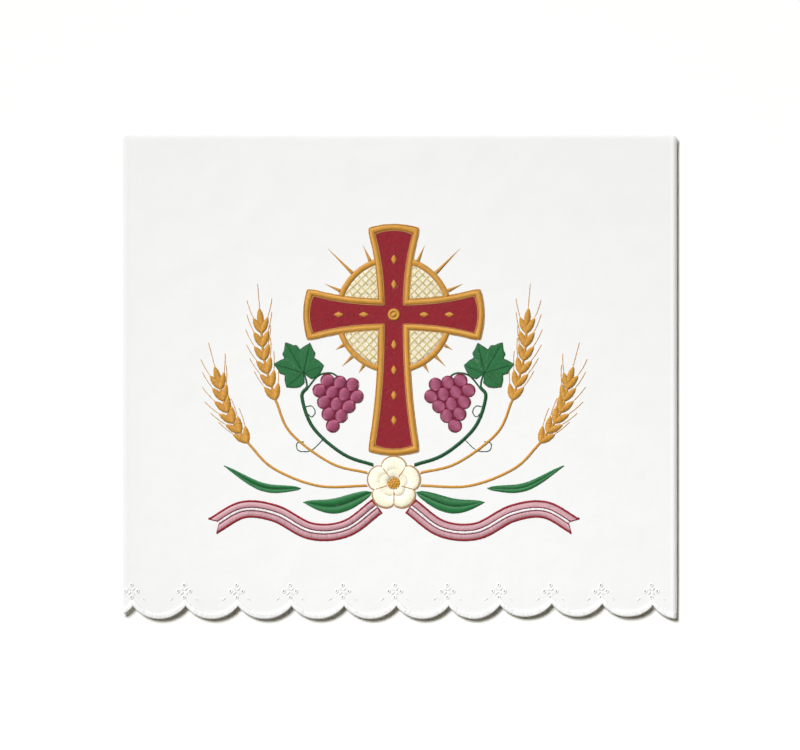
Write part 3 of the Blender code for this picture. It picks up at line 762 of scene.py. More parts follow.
def laid(flat, thickness):
    """Where points of the flat cut, (X, run from the scallops' lows), come to lie."""
    stations, run = measured_section(thickness)
    y, z, front, middle, bottom = at_places(stations, run, flat[:, 1]).T
    share = flat[:, 0] / HALF_WIDTH
    inset = np.where(share > 0, RIGHT_ROLL + thickness / 2, LOWER_LAYERS_INSET) * (1 - front)
    x = share * (half_width(y, thickness) - inset)
    y = y + WANDER * bottom * np.sin(2 * math.pi * WANDER_WAVES * share + WANDER_SHIFT * y)
    wave = np.sin(2 * math.pi * LAYER_WAVES_ACROSS * x) * np.cos(2 * math.pi * LAYER_WAVES_ALONG * y + x)
    z = z + front * front_lift(x, y) + LAYER_WAVE * middle * wave
    x = x + front * (rolled_in(x, y) - x)
    return np.stack([x, y, z], axis=1)


def scallop_sag(across, half, depth):
    """How far the edge has risen from a scallop's low, at a distance from its middle."""
    radius = (half**2 + depth**2) / (2 * depth)
    return radius - np.sqrt(np.maximum(radius**2 - across**2, 0.0))


def cut_edge_y(x):
    """Y of the cut edge at X."""
    number = np.clip(np.searchsorted(CUSP_X, x), 1, len(CUSP_X) - 1)
    start, end = CUSP_X[number - 1], CUSP_X[number]
    sag = scallop_sag(x - (start + end) / 2, (end - start) / 2, SCALLOP_DEPTH)
    return CUT_INSET - TOP + sag + edge_lift(x)


def flower_centres(looks):
    eyelets = looks.eyelets
    cusps = CUSP_X[1:-1]
    return np.stack([cusps + eyelets.shift, np.full(len(cusps), eyelets.height)], axis=1)


def hole_centres(looks):
    """Middles of all the eyelet holes, flower by flower."""
    eyelets = looks.eyelets
    turns = math.pi / 2 + 2 * math.pi * np.arange(eyelets.holes) / eyelets.holes
    centres = np.vstack([polar(eyelets.reach, turns, centre) for centre in flower_centres(looks)])
    return centres[np.abs(centres[:, 0]) < HALF_WIDTH - 2 * eyelets.hole]


# The flat cut

def column_places():
    """X of the net's columns, closer at the two side edges."""
    inside = HALF_WIDTH - SIDE_COLUMNS[-1] - FRONT_SPACING / 2
    columns = np.linspace(-inside, inside, 2 * round(inside / FRONT_SPACING) + 1)
    near = HALF_WIDTH - np.array(SIDE_COLUMNS)
    return np.concatenate([-near, columns, near[::-1]])


def upright(x, y):
    """Points one above the other at X."""
    return np.stack([np.full(len(y), x), y], axis=1)


def level(x, y):
    """Points side by side at Y."""
    return np.stack([x, np.full(len(x), y)], axis=1)


def cut_edge():
    """The scalloped edge from left to right."""
    places = np.arange((len(CUSP_X) - 1) * EDGE_STEPS) / EDGE_STEPS
    edge_x = np.interp(places, np.arange(len(CUSP_X)), CUSP_X)
    edge_x = edge_x[np.abs(edge_x) < HALF_WIDTH - NET_SPACING / 4]
    edge_x = np.concatenate([[-HALF_WIDTH], edge_x, [HALF_WIDTH]])
    return np.stack([edge_x, cut_edge_y(edge_x)], axis=1)


def rim_outline(edge):
    """Outline of the rim: its cut edge, its right side, its top and its left side."""
    sides = []
    for x, low_y in ((HALF_WIDTH, edge[-1, 1]), (-HALF_WIDTH, edge[0, 1])):
        sides.append(upright(x, np.linspace(low_y, RIM_Y, round((RIM_Y - low_y) / NET_SPACING) + 1)[1:-1]))
    top = level(column_places(), RIM_Y)
    return np.vstack([edge, sides[0], top[::-1], sides[1][::-1]])


def rim_inside(centres, hole):
    """Points inside the rim, clear of its holes: rows, and close columns near the two sides."""
    rows = []
    for number, y in enumerate(np.arange(-TOP, RIM_Y - NET_SPACING / 2, NET_ROW)):
        start = NET_SPACING * (1 + number % 2 / 2) - HALF_WIDTH
        rows.append(level(np.arange(start, HALF_WIDTH - NET_SPACING / 2, NET_SPACING), y))
    rows = np.vstack(rows)
    clear = rows[:, 1] > cut_edge_y(rows[:, 0]) + EDGE_CLEARANCE
    clear &= np.linalg.norm(rows[:, None] - centres, axis=2).min(axis=1) > hole + NET_SPACING * 0.75
    clear &= np.abs(rows[:, 0]) < HALF_WIDTH - SIDE_COLUMNS[-1] - NET_SPACING / 3
    inside = [rows[clear]]
    for x in np.outer([-1.0, 1.0], HALF_WIDTH - np.array(SIDE_COLUMNS[1:])).ravel():
        low_y = cut_edge_y(x) + COLUMN_CLEARANCE
        column = upright(x, np.arange(low_y, RIM_Y - COLUMN_CLEARANCE, NET_SPACING))
        apart = np.linalg.norm(column[:, None] - centres, axis=2).min(axis=1)
        inside.append(column[apart > hole + NET_SPACING / 2])
    return inside


def rim_net(looks):
    """Triangles of the rim, with its scallops and eyelet holes: points (X, Y) and faces."""
    hole = looks.eyelets.hole
    centres = hole_centres(looks)
    edge = cut_edge()
    loops = [rim_outline(edge), *(circle(hole, centre, HOLE_STEPS) for centre in centres)]
    rings = [circle(hole + NET_SPACING / 3, centre, HOLE_STEPS) for centre in centres]
    points = np.vstack(loops + rings + rim_inside(centres, hole))
    edges, start = [], 0
    loop_of = np.full(len(points), -1)
    for number, loop in enumerate(loops):
        ids = start + np.arange(len(loop))
        edges += list(zip(ids.tolist(), np.roll(ids, -1).tolist()))
        loop_of[ids] = number - 1
        start += len(loop)
    found = geometry.delaunay_2d_cdt([Vector(point) for point in points], edges, [], 1, SAME_PLACE, True)
    source = np.array([ids[0] for ids in found[3]])
    faces = source[np.array(found[2])]
    within = loop_of[faces]
    hollow = (within[:, 0] >= 0) & (within == within[:, :1]).all(axis=1)
    middle = points[faces].mean(axis=1)
    beyond = middle[:, 1] < np.interp(middle[:, 0], edge[:, 0], edge[:, 1])
    return points, faces[~hollow & ~beyond]


def row_places(stations, run):
    """Runs of the net's rows, from the rim's top to the rear hem, closer at the folds and at the hem."""
    top_start, top_end = run[[RIM_STATIONS, RIM_STATIONS + FOLD_STEPS]]
    low_start, low_end = run[[RIM_STATIONS + FOLD_STEPS + 1, RIM_STATIONS + 2 * FOLD_STEPS + 1]]
    rim = run_at(RIM_Y, stations, run)
    roll = top_start - TOP_ROLL
    hem = run[-1] - np.array(HEM_ROWS)
    front = np.linspace(rim, roll, round((roll - rim) / FRONT_SPACING) + 1)
    rolled = np.linspace(roll, top_start, ROLL_STEPS + 1)[1:]
    top_fold = np.linspace(top_start, top_end, FOLD_STEPS + 1)[1:]
    middle = np.linspace(top_end, low_start, round((low_start - top_end) / LOWER_SPACING) + 1)[1:]
    low_fold = np.linspace(low_start, low_end, FOLD_STEPS + 1)[1:]
    bottom = np.linspace(low_end, hem[0], round((run[-1] - low_end) / LOWER_SPACING) + 1)[1:]
    return np.concatenate([front, rolled, top_fold, middle, low_fold, bottom, hem[1:]])


def flat_cut(looks):
    """The whole flat net: points (X, run), triangles and quads."""
    stations, run = measured_section(looks.linen.thickness)
    rim_points, triangles = rim_net(looks)
    rim_flat = np.stack([rim_points[:, 0], run_at(rim_points[:, 1], stations, run)], axis=1)
    columns, rows = column_places(), row_places(stations, run)
    grid = np.stack(np.meshgrid(columns, rows), axis=-1).reshape(-1, 2)
    corner = np.arange(len(columns) - 1) + len(columns) * np.arange(len(rows) - 1)[:, None] + len(rim_flat)
    quads = np.stack([corner, corner + 1, corner + 1 + len(columns), corner + len(columns)], axis=-1)
    points = np.vstack([rim_flat, grid])
    key = np.round(points / SAME_PLACE).astype(np.int64)
    _, first, place = np.unique(key, axis=0, return_index=True, return_inverse=True)
    place = place.reshape(-1)
    return points[first], place[triangles], place[quads.reshape(-1, 4)]


def flat_size(looks):
    """Length of the flat cut, and its area without what is cut from between the scallops."""
    _, run = measured_section(looks.linen.thickness)
    whole = run[-1]
    x = np.linspace(-HALF_WIDTH, HALF_WIDTH, 2000)
    cut = np.mean(cut_edge_y(x) + TOP) * 2 * HALF_WIDTH
    return whole, 2 * HALF_WIDTH * whole - cut


# Meshes and pieces

def mesh_of(name, points, quads, triangles):
    """A mesh from arrays of points, four-sided faces and three-sided faces."""
    mesh = bpy.data.meshes.new(name)
    corners = np.concatenate([quads.ravel(), triangles.ravel()]).astype(np.int32)
    starts = np.concatenate([4 * np.arange(len(quads)), 4 * len(quads) + 3 * np.arange(len(triangles))])
    mesh.vertices.add(len(points))
    mesh.vertices.foreach_set("co", points.astype(np.float32).ravel())
    mesh.loops.add(len(corners))
    mesh.loops.foreach_set("vertex_index", corners)
    mesh.polygons.add(len(starts))
    mesh.polygons.foreach_set("loop_start", starts.astype(np.int32))
    mesh.update(calc_edges=True)
    mesh.shade_smooth()
    return mesh


def point_values(mesh, name, kind, values):
    layer = mesh.attributes.new(name, kind, "POINT")
    layer.data.foreach_set("vector" if kind == "FLOAT_VECTOR" else "value", values.astype(np.float32).ravel())


def add_piece(name, mesh, finish, nodes=()):
    """Puts a finished mesh in the scene, in place of the nodes that it stands for."""
    piece = bpy.data.objects.new(name, mesh)
    bpy.context.scene.collection.objects.link(piece)
    mesh.materials.clear()
    mesh.materials.append(finish)
    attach(piece, "root")
    if nodes:
        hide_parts(*nodes)


# Stitches: each is a row of points (X, Y, height above the linen)

def band(first, second, spacing, pad, slant=0.0, stations=BAND_STATIONS):
    """Stitches side by side across the band between two lines, raised in the middle."""
    first, second = np.asarray(first, float), np.asarray(second, float)
    steps = np.maximum(*(np.linalg.norm(np.diff(edge, axis=0), axis=1) for edge in (first, second)))
    run = np.concatenate([[0.0], np.cumsum(steps)])
    number = max(2, round(run[-1] / spacing))
    places = (np.arange(number) + 0.5) / number * run[-1]
    start = at_places(first, run, places)
    end = at_places(second, run, np.clip(places + slant, 0.0, run[-1]))
    share = np.array(stations)
    plan = start[:, None] + (end - start)[:, None] * share[:, None]
    arch = np.sqrt(1 - (2 * share - 1) ** 2)
    span = np.linalg.norm(end - start, axis=1)
    height = pad * np.minimum(1.0, span / FULL_PAD_SPAN)[:, None] * arch - DIP * (arch == 0)
    return np.dstack([plan, height])


def fill(loops, heading, spacing, stitch, height):
    """Rows of stitches inside a shape, their needle points staggered from row to row."""
    edges = []
    for loop in loops:
        turned_loop = np.asarray(loop) @ turned(-heading)
        edges.append(np.stack([turned_loop, np.roll(turned_loop, -1, axis=0)], axis=1))
    edges = np.concatenate(edges)
    starts, ends = [], []
    for row in range(math.ceil(edges[..., 1].min() / spacing), math.floor(edges[..., 1].max() / spacing) + 1):
        y = row * spacing
        crossed = (edges[:, 0, 1] <= y) != (edges[:, 1, 1] <= y)
        low, high = edges[crossed, 0], edges[crossed, 1]
        x = np.sort(low[:, 0] + (y - low[:, 1]) / (high[:, 1] - low[:, 1]) * (high[:, 0] - low[:, 0]))
        offset = row * STAGGER % 1.0 * stitch
        for left, right in zip(x[::2], x[1::2]):
            if right - left < SHORTEST:
                continue
            first = math.ceil((left + SHORTEST - offset) / stitch)
            last = math.floor((right - SHORTEST - offset) / stitch)
            stops = [left, *(offset + stitch * np.arange(first, last + 1)), right]
            starts += [(stop, y) for stop in stops[:-1]]
            ends += [(stop, y) for stop in stops[1:]]
    if not starts:
        return np.zeros((0, len(FILL_STATIONS), 3))
    starts = (np.array(starts) - (NEEDLE_OVERLAP, 0.0)) @ turned(heading)
    ends = (np.array(ends) + (NEEDLE_OVERLAP, 0.0)) @ turned(heading)
    plan = starts[:, None] + (ends - starts)[:, None] * np.array(FILL_STATIONS)[:, None]
    heights = np.broadcast_to(height * np.array(FILL_HEIGHTS), plan.shape[:2])
    return np.dstack([plan, heights])


def line(path, width, stitch, height):
    """Slanting stitches that overlap along a line, as a thin rope."""
    path = np.asarray(path, float)
    run = run_of(path)
    number = max(1, round(run[-1] / stitch * 2))
    starts = np.arange(number) / number * run[-1]
    ends = np.minimum(starts + stitch, run[-1])
    share = np.array(FILL_STATIONS)
    places = starts[:, None] + (ends - starts)[:, None] * share
    side = at_places(sideways(path), run, places.ravel()).reshape(*places.shape, 2)
    plan = at_places(path, run, places.ravel()).reshape(*places.shape, 2)
    plan = plan + side * (width / 2 * (2 * share - 1))[:, None]
    heights = np.broadcast_to(height * np.array(FILL_HEIGHTS), places.shape)
    return np.dstack([plan, heights])


def strip(path, width, spacing, pad, slant=0.0):
    """Stitches side by side across a path."""
    reach = sideways(path) * width / 2
    return band(path + reach, path - reach, spacing, pad, slant)


def disc(radius, centre, heading, spacing, pad):
    """A raised disc of stitches laid side by side."""
    sweep = np.linspace(0.02, math.pi - 0.02, 17)
    first = polar(radius, heading + sweep, centre)
    second = polar(radius, heading - sweep, centre)
    return band(first, second, spacing, pad)


def knot(centre, radius, height, turns=2.3, points=16):
    """A small wound knot."""
    share = np.linspace(0.0, 1.0, points)
    plan = polar(radius * (1 - 0.75 * share), 2 * math.pi * turns * share, centre)
    rise = height * (0.3 + 0.7 * np.sin(math.pi * np.minimum(share * 1.4, 0.5)))
    return np.dstack([plan[None], rise[None]])


class Skein:
    """The stitches of one piece, gathered until they become a mesh."""

    def __init__(self, looks, seed):
        self.looks = looks
        self.thread = looks.thread
        self.random = np.random.default_rng(seed)
        self.points, self.quads, self.triangles = [], [], []
        self.tones, self.plies = [], []
        self.size = 0

    def sew(self, paths, width=None, tone=0.5, mirrored=False):
        """Adds stitches of the emblem, given in its own frame."""
        paths = np.array(paths, float)
        if mirrored:
            paths[..., 0] *= -1
        paths[..., 0] += self.looks.emblem.across
        paths[..., 1] += self.looks.emblem.up
        self.lay(paths, width, tone)

    def lay(self, paths, width=None, tone=0.5):
        """Adds stitches given in the cloth's frame, on the linen's top face."""
        if len(paths) == 0:
            return
        paths = np.array(paths, float)
        stray = self.random.normal(0.0, self.thread.wobble, (len(paths), paths.shape[1], 2))
        start, end = stray[:, :1], stray[:, -1:]
        stray[:, 1:-1] = start + np.linspace(0, 1, paths.shape[1])[1:-1, None] * (end - start)
        paths[..., :2] += stray
        paths[..., 2] += linen_top(paths[..., 0], paths[..., 1])
        paths[..., 0] = rolled_in(paths[..., 0], paths[..., 1])
        self.wind(paths, width or self.thread.width, tone)

    def wind(self, paths, width, tone, side=None):
        """Gives each path a round thread whose two ends run to a point."""
        number, stations, _ = paths.shape
        along = unit(np.gradient(paths, axis=1))
        side = unit(np.cross(along, UP)) if side is None else np.broadcast_to(side[:, None], paths.shape)
        top = np.cross(side, along)
        uneven = 1 + self.random.normal(0.0, self.thread.unevenness, (number, 1, 1, 1))
        tall = self.thread.height / self.thread.width * width
        turn = math.pi / 2 + 2 * math.pi * np.arange(THREAD_SIDES) / THREAD_SIDES
        reach_side = (side * width / 2)[:, 1:-1, None] * np.cos(turn)[:, None]
        reach_top = (top * tall / 2)[:, 1:-1, None] * np.sin(turn)[:, None]
        rings = paths[:, 1:-1, None] + (reach_side + reach_top) * uneven
        rings = rings.reshape(number, -1, 3)
        points = np.concatenate([paths[:, :1], rings, paths[:, -1:]], axis=1)
        each = points.shape[1]
        ring = 1 + np.arange(stations - 2)[:, None] * THREAD_SIDES + np.arange(THREAD_SIDES)
        following = np.roll(ring, -1, axis=1)
        quads = np.stack([ring[:-1], ring[1:], following[1:], following[:-1]], axis=-1).reshape(-1, 4)
        start = np.stack([np.zeros(THREAD_SIDES, int), ring[0], following[0]], axis=-1)
        end = np.stack([ring[-1], np.full(THREAD_SIDES, each - 1), following[-1]], axis=-1)
        triangles = np.concatenate([start, end])
        first = self.size + each * np.arange(number)[:, None, None]
        self.quads.append((quads + first).reshape(-1, 4))
        self.triangles.append((triangles + first).reshape(-1, 3))
        self.points.append(points.reshape(-1, 3))
        shade = np.clip(tone + self.random.normal(0.0, TONE_SPREAD, number), 0.0, 1.0)
        self.tones.append(np.repeat(shade, each))
        steps = np.linalg.norm(np.diff(paths, axis=1), axis=2)
        run = np.concatenate([np.zeros((number, 1)), np.cumsum(steps, axis=1)], axis=1)
        run = run + self.random.random((number, 1)) * self.thread.twist
        ply = np.zeros((number, each, 3))
        ply[:, 1:-1, 0] = np.tile(np.cos(turn), stations - 2)
        ply[:, 1:-1, 1] = np.tile(np.sin(turn), stations - 2)
        ply[:, 0, 2], ply[:, -1, 2] = run[:, 0], run[:, -1]
        ply[:, 1:-1, 2] = np.repeat(run[:, 1:-1], THREAD_SIDES, axis=1)
        self.plies.append(ply.reshape(-1, 3))
        self.size += number * each

    def to_piece(self, name, colour_name, *nodes, slot=None):
        """Makes the gathered stitches one piece, in place of the nodes that it stands for."""
        mesh = mesh_of(name, *(np.concatenate(part) for part in (self.points, self.quads, self.triangles)))
        point_values(mesh, "tone", "FLOAT", np.concatenate(self.tones))
        point_values(mesh, "ply", "FLOAT_VECTOR", np.concatenate(self.plies))
        add_piece(name, mesh, thread_finish(self.looks, colour_name), nodes)


# Outlines of the emblem, in its own frame

def arm_half_width(cross, along, reach):
    return cross.waist + (cross.flare - cross.waist) * (max(along, 0.0) / reach) ** FLARE_POWER


def cross_arms(cross):
    """Reach of each arm and the matrix that turns it into its place, clockwise from the upper arm."""
    for quarter, reach in enumerate((cross.arm, cross.arm, cross.foot, cross.arm)):
        yield reach, turned(math.radians(-90 * quarter))


def cross_outline(cross, grow=0.0, side_steps=16, end_steps=8):
    """Outline of a cross whose arms flare, grown outwards by a margin."""
    outline = []
    for reach, turn in cross_arms(cross):
        end = reach + grow
        along = np.linspace(cross.waist + grow, end, side_steps + 1)
        half = np.array([arm_half_width(cross, min(t, reach), reach) + grow for t in along])
        share = 1 - np.arange(1, 2 * end_steps) / end_steps
        bulge = np.stack([-half[-1] * share, end + cross.bulge * (1 - share**2)], axis=1)
        left = np.stack([-half, along], axis=1)[1:]
        right = np.stack([half, along], axis=1)[::-1]
        arm = np.vstack([left, bulge, right])
        outline.append(arm @ turn)
    return np.vstack(outline) + (0.0, cross.height)


def arm_crossing(cross, radius, reach):
    """Where a circle about the crossing meets the edge of an arm's border: (out from, along) the arm."""
    along = radius
    for _ in range(20):
        along = math.sqrt(radius**2 - (arm_half_width(cross, along, reach) + cross.border) ** 2)
    return arm_half_width(cross, along, reach) + cross.border, along


def sweep_between(cross, radius, upright_reach):
    """Angles from the cross bar at which a circle leaves the bar and meets the upright."""
    out, along = arm_crossing(cross, radius, cross.arm)
    out_up, along_up = arm_crossing(cross, radius, upright_reach)
    return math.atan2(out, along), math.atan2(along_up, out_up)


def quadrant_field(cross, radius, upright_reach, side_steps=8, arc_steps=16):
    low, high = sweep_between(cross, radius, upright_reach)
    arc = polar(radius, np.linspace(low, high, arc_steps + 1))
    up = np.linspace(arc[-1][1], cross.waist + cross.border, side_steps + 1)[1:]
    upright = [(arm_half_width(cross, t, upright_reach) + cross.border, t) for t in up]
    across = np.linspace(cross.waist + cross.border, arc[0][0], side_steps + 1)[1:-1]
    bar = [(t, arm_half_width(cross, t, cross.arm) + cross.border) for t in across]
    return np.vstack([arc, upright, bar])


def leaf_sides(path, width):
    """Spine and the two edges of a pointed leaf on a curved spine."""
    share = np.linspace(0, 1, len(path))
    swell = np.sin(np.pi * share**LEAF_LEAN) ** LEAF_FULLNESS
    swell[[0, -1]] = 0.0
    side = sideways(path) * (width / 2 * swell)[:, None]
    return path, path + side, path - side


def vine_leaf_loop(vine):
    """Outline of the vine leaf, from its tip round by its left side."""
    turn = np.radians(VINE_LEAF["angle"])
    reach = np.array(VINE_LEAF["reach"])
    turn = np.concatenate([turn, 2 * math.pi - turn[:0:-1]])
    reach = np.concatenate([reach, reach[:0:-1]])
    return polar(vine.leaf_size * reach, turn + vine.leaf_turn, (vine.leaf_across, vine.leaf_up))


def kernel_sides(wheat, root, heading):
    """The two edges of one wheat kernel, pointed at both ends."""
    along = np.array(KERNEL_SHAPE["along"]) * wheat.kernel_length
    half = np.array(KERNEL_SHAPE["half"]) * wheat.kernel_width
    turn = turned(heading)
    return root + np.stack([along, half], axis=1) @ turn, root + np.stack([along, -half], axis=1) @ turn


def kernel_places(wheat, ear):
    """Root and heading of each kernel: pairs up the ear, and one at its tip."""
    run = run_of(ear)
    heading = np.arctan2(*directions(ear).T[::-1])
    places = []
    for place in np.linspace(0.0, run[-1], wheat.pairs, endpoint=False):
        root = at_places(ear, run, np.array([place]))[0]
        way = np.interp(place, run, heading)
        places += [(root, way + wheat.spread, 1), (root, way - wheat.spread, -1)]
    tip_root = ear[-1] - directions(ear)[-1] * wheat.kernel_length / 3
    places.append((tip_root, heading[-1], 0))
    return places


def grape_centres(grapes):
    """Middles of the left bunch's grapes, in rows that hang from its stalk."""
    centres = [
        ((number - (across - 1) / 2) * grapes.pitch, -row * grapes.pitch * math.cos(math.radians(30)))
        for row, across in enumerate(GRAPE_ROWS)
        for number in range(across)
    ]
    return np.array(centres) @ turned(grapes.tilt) + (grapes.across, grapes.up)


def rose_reach(rose, turn):
    lobes = np.abs(np.cos(rose.petals / 2 * turn)) ** PETAL_FULLNESS
    return rose.size * (rose.heart + (1 - rose.heart) * lobes)


def ribbon_line(ribbon, offset, points=60):
    """A line along the ribbon, at a distance from its middle, as far as the cut of its end."""
    path = smooth_path(RIBBON, 12)
    half = ribbon.width / 2
    moved = path + sideways(path) * offset
    run = run_of(moved)
    return resampled(moved, points, 0.0, run[-1] - ribbon.notch * (1 - abs(offset) / half))


# Operators

class ALTAR_CLOTH_OT_stage(bpy.types.Operator):
    """Makes the floor, the studio light and the camera"""

    bl_idname = "altar_cloth.stage"
    bl_label = "Stage"

    def execute(self, context):
        stage = context.scene.altar_cloth.stage
        self.make_floor(stage)
        self.make_light(context.scene, stage)
        self.make_camera(context.scene, stage)
        return {"FINISHED"}

    def make_floor(self, stage):
        bpy.ops.mesh.primitive_plane_add(size=stage.floor)
        floor = bpy.context.object
        floor.name = "floor"
        shader = Shader(bpy.data.materials.new("pale floor"))
        shader.surface(Base_Color=shaded(stage.floor_colour, 1.0), Roughness=0.9, Specular_IOR_Level=0.0)
        floor.data.materials.append(shader.owner)
        floor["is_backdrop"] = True

    def make_light(self, scene, stage):
        way = Vector((stage.lean_right, -stage.lean_down, -1.0)).normalized()
        sun = bpy.data.lights.new("key light", "SUN")
        sun.energy = stage.sun
        sun.color = stage.sun_colour
        sun.angle = stage.sun_angle
        helper = bpy.data.lights.new("helper", "SPOT")
        helper.energy = stage.helper
        helper.color = stage.sun_colour
        helper.spot_size = 2 * math.atan(stage.helper_reach / stage.helper_distance)
        helper.spot_blend = 1.0
        helper.shadow_soft_size = stage.helper_distance / 20
        aim = Vector((stage.helper_x, stage.helper_y, 0.0))
        for light, distance in ((sun, 1.0), (helper, stage.helper_distance)):
            lamp = bpy.data.objects.new(light.name, light)
            lamp.location = aim - way * distance
            lamp.rotation_euler = way.to_track_quat("-Z", "Y").to_euler()
            scene.collection.objects.link(lamp)
        scene.world = bpy.data.worlds.new("studio")
        shader = Shader(scene.world)
        tree = shader.tree
        around = tree.nodes["Background"]
        around.inputs["Color"].default_value = shaded(stage.fill_colour, 1.0)
        around.inputs["Strength"].default_value = stage.fill
        seen = shader.add("Background", None, {"Color": (1.0, 1.0, 1.0, 1.0), "Strength": stage.backdrop})
        to_camera = shader.add("LightPath", output="Is Camera Ray")
        both = shader.add("MixShader", None, {0: to_camera, 1: Term(shader, around.outputs[0]), 2: seen})
        tree.links.new(both.socket, tree.nodes["World Output"].inputs["Surface"])

    def make_camera(self, scene, stage):
        data = bpy.data.cameras.new("camera")
        data.lens = data.sensor_width * stage.distance / stage.view_width
        camera = bpy.data.objects.new("camera", data)
        camera.location = (stage.centre_x, stage.centre_y, FRONT_TOP_Z + stage.distance)
        scene.collection.objects.link(camera)
        scene.camera = camera
        scene.view_settings.view_transform = "Standard"


class ALTAR_CLOTH_OT_linen(bpy.types.Operator):
    """Cuts the linen flat, with its scallops and eyelet holes, and lays it along its folds"""

    bl_idname = "altar_cloth.linen"
    bl_label = "Linen"

    def execute(self, context):
        looks = context.scene.altar_cloth
        flat, triangles, quads = flat_cut(looks)
        points = laid(flat, looks.linen.thickness)
        mesh = mesh_of("linen_net", points, quads, triangles)
        point_values(mesh, "flat", "FLOAT_VECTOR", np.column_stack([flat, np.zeros(len(flat))]))
        net = bpy.data.objects.new("linen_net", mesh)
        context.scene.collection.objects.link(net)
        body = net.modifiers.new("Thickness", "SOLIDIFY")
        body.thickness = looks.linen.thickness
        body.offset = 0.0
        body.use_even_offset = True
        context.view_layer.update()
        graph = context.evaluated_depsgraph_get()
        solid = bpy.data.meshes.new_from_object(net.evaluated_get(graph))
        solid.name = "linen"
        solid.set_sharp_from_angle(angle=CUT_FACE_ANGLE)
        bpy.data.objects.remove(net)
        add_piece("linen", solid, linen_finish(looks), ["cloth"])
        return {"FINISHED"}


class ALTAR_CLOTH_OT_edging(bpy.types.Operator):
    """Oversews the scallops, each stitch passing round the cut edge"""

    bl_idname = "altar_cloth.edging"
    bl_label = "Scallop edging"

    def execute(self, context):
        looks = context.scene.altar_cloth
        edging, thickness = looks.edging, looks.linen.thickness
        skein = Skein(looks, 11)
        depth = SCALLOP_DEPTH + edging.cusp_width - edging.width
        share = np.sin(np.linspace(-1.0, 1.0, EDGING_POINTS) * math.pi / 2)
        for start, end in zip(CUSP_X, CUSP_X[1:]):
            half = (end - start) / 2
            radius = (half**2 + SCALLOP_DEPTH**2) / (2 * SCALLOP_DEPTH)
            across = half * share
            gathered = across * (1 - edging.width / radius * (1 - np.abs(share) ** 3))
            edge_x, inner_x = (start + end) / 2 + across, (start + end) / 2 + gathered
            inside = np.abs(edge_x) < HALF_WIDTH - looks.thread.width / 2
            if inside.sum() < 3:
                continue
            inner_y = CUT_INSET - TOP + edging.width + scallop_sag(gathered, half, depth) + edge_lift(inner_x)
            edge_y = CUT_INSET - TOP + scallop_sag(across, half, SCALLOP_DEPTH) + edge_lift(edge_x)
            inner = np.stack([np.clip(inner_x, -HALF_WIDTH, HALF_WIDTH), inner_y], axis=1)[inside]
            edge = np.stack([edge_x, edge_y], axis=1)[inside]
            self.oversew(skein, inner, edge, edging, thickness)
        skein.to_piece("scallop_edging_stitches", "white_thread", "scallop_edging")
        return {"FINISHED"}

    def oversew(self, skein, inner, edge, edging, thickness):
        """Stitches from the inner line over the cut edge and back under the linen."""
        thread = skein.thread
        stitches = band(inner, edge, thread.spacing, 0.0, stations=(0.0, 1.0))
        start, end = stitches[:, 0, :2], stitches[:, 1, :2]
        start = start + skein.random.normal(0.0, thread.wobble, start.shape)
        outward = unit(end - start)
        half = thread.height / 2
        rows = [
            (start, -DIP),
            *((start + (end - start) * share, half + edging.pad * rise) for share, rise in EDGING_RISES),
            (end + outward * edging.overhang / 2, half + edging.pad * 0.8),
            (end + outward * edging.overhang, -thickness / 2),
            (end - outward * edging.overhang, -thickness - half),
            (end - outward * edging.lap / 2, -thickness - half),
            (end - outward * edging.lap, -thickness + DIP),
        ]
        rows = [np.column_stack([place, np.full(len(place), height)]) for place, height in rows]
        paths = np.stack(rows, axis=1)
        paths[..., 2] += linen_top(paths[..., 0], np.maximum(paths[..., 1], -TOP))
        paths[..., 0] = rolled_in(paths[..., 0], paths[..., 1])
        side = np.column_stack([outward[:, 1], -outward[:, 0], np.zeros(len(outward))])
        skein.wind(paths, edging.thread, 0.5, side)


class ALTAR_CLOTH_OT_eyelets(bpy.types.Operator):
    """Oversews the eyelet holes, and sews petals between them and small leaves beside them"""

    bl_idname = "altar_cloth.eyelets"
    bl_label = "Eyelet flowers"

    def execute(self, context):
        looks = context.scene.altar_cloth
        eyelets, thread = looks.eyelets, looks.thread
        pad = eyelets.pad + thread.height / 2
        skein = Skein(looks, 12)
        for centre in hole_centres(looks):
            inner = closed(circle(eyelets.hole - thread.height / 3, centre, 24))
            outer = closed(circle(eyelets.hole + eyelets.rim, centre, 24))
            skein.lay(band(inner, outer, thread.spacing, pad))
        for centre in flower_centres(looks):
            for turn in math.pi / 4 + math.pi / 2 * np.arange(4):
                reach = np.linspace(eyelets.petal_start, eyelets.reach * eyelets.petal_end, 9)
                _, left, right = leaf_sides(polar(reach, turn, centre), eyelets.rim * 1.5)
                skein.lay(band(left, right, thread.spacing, pad))
            for hand in (-1.0, 1.0):
                root = centre + (hand * eyelets.leaf_across, -eyelets.leaf_down)
                if abs(root[0]) < HALF_WIDTH - eyelets.leaf:
                    reach = np.linspace(-eyelets.leaf / 2, eyelets.leaf / 2, 9)
                    _, left, right = leaf_sides(polar(reach, -hand * eyelets.leaf_turn, root), eyelets.rim)
                    skein.lay(band(left, right, thread.spacing, pad))
        skein.to_piece("eyelet_stitches", "white_thread")
        return {"FINISHED"}


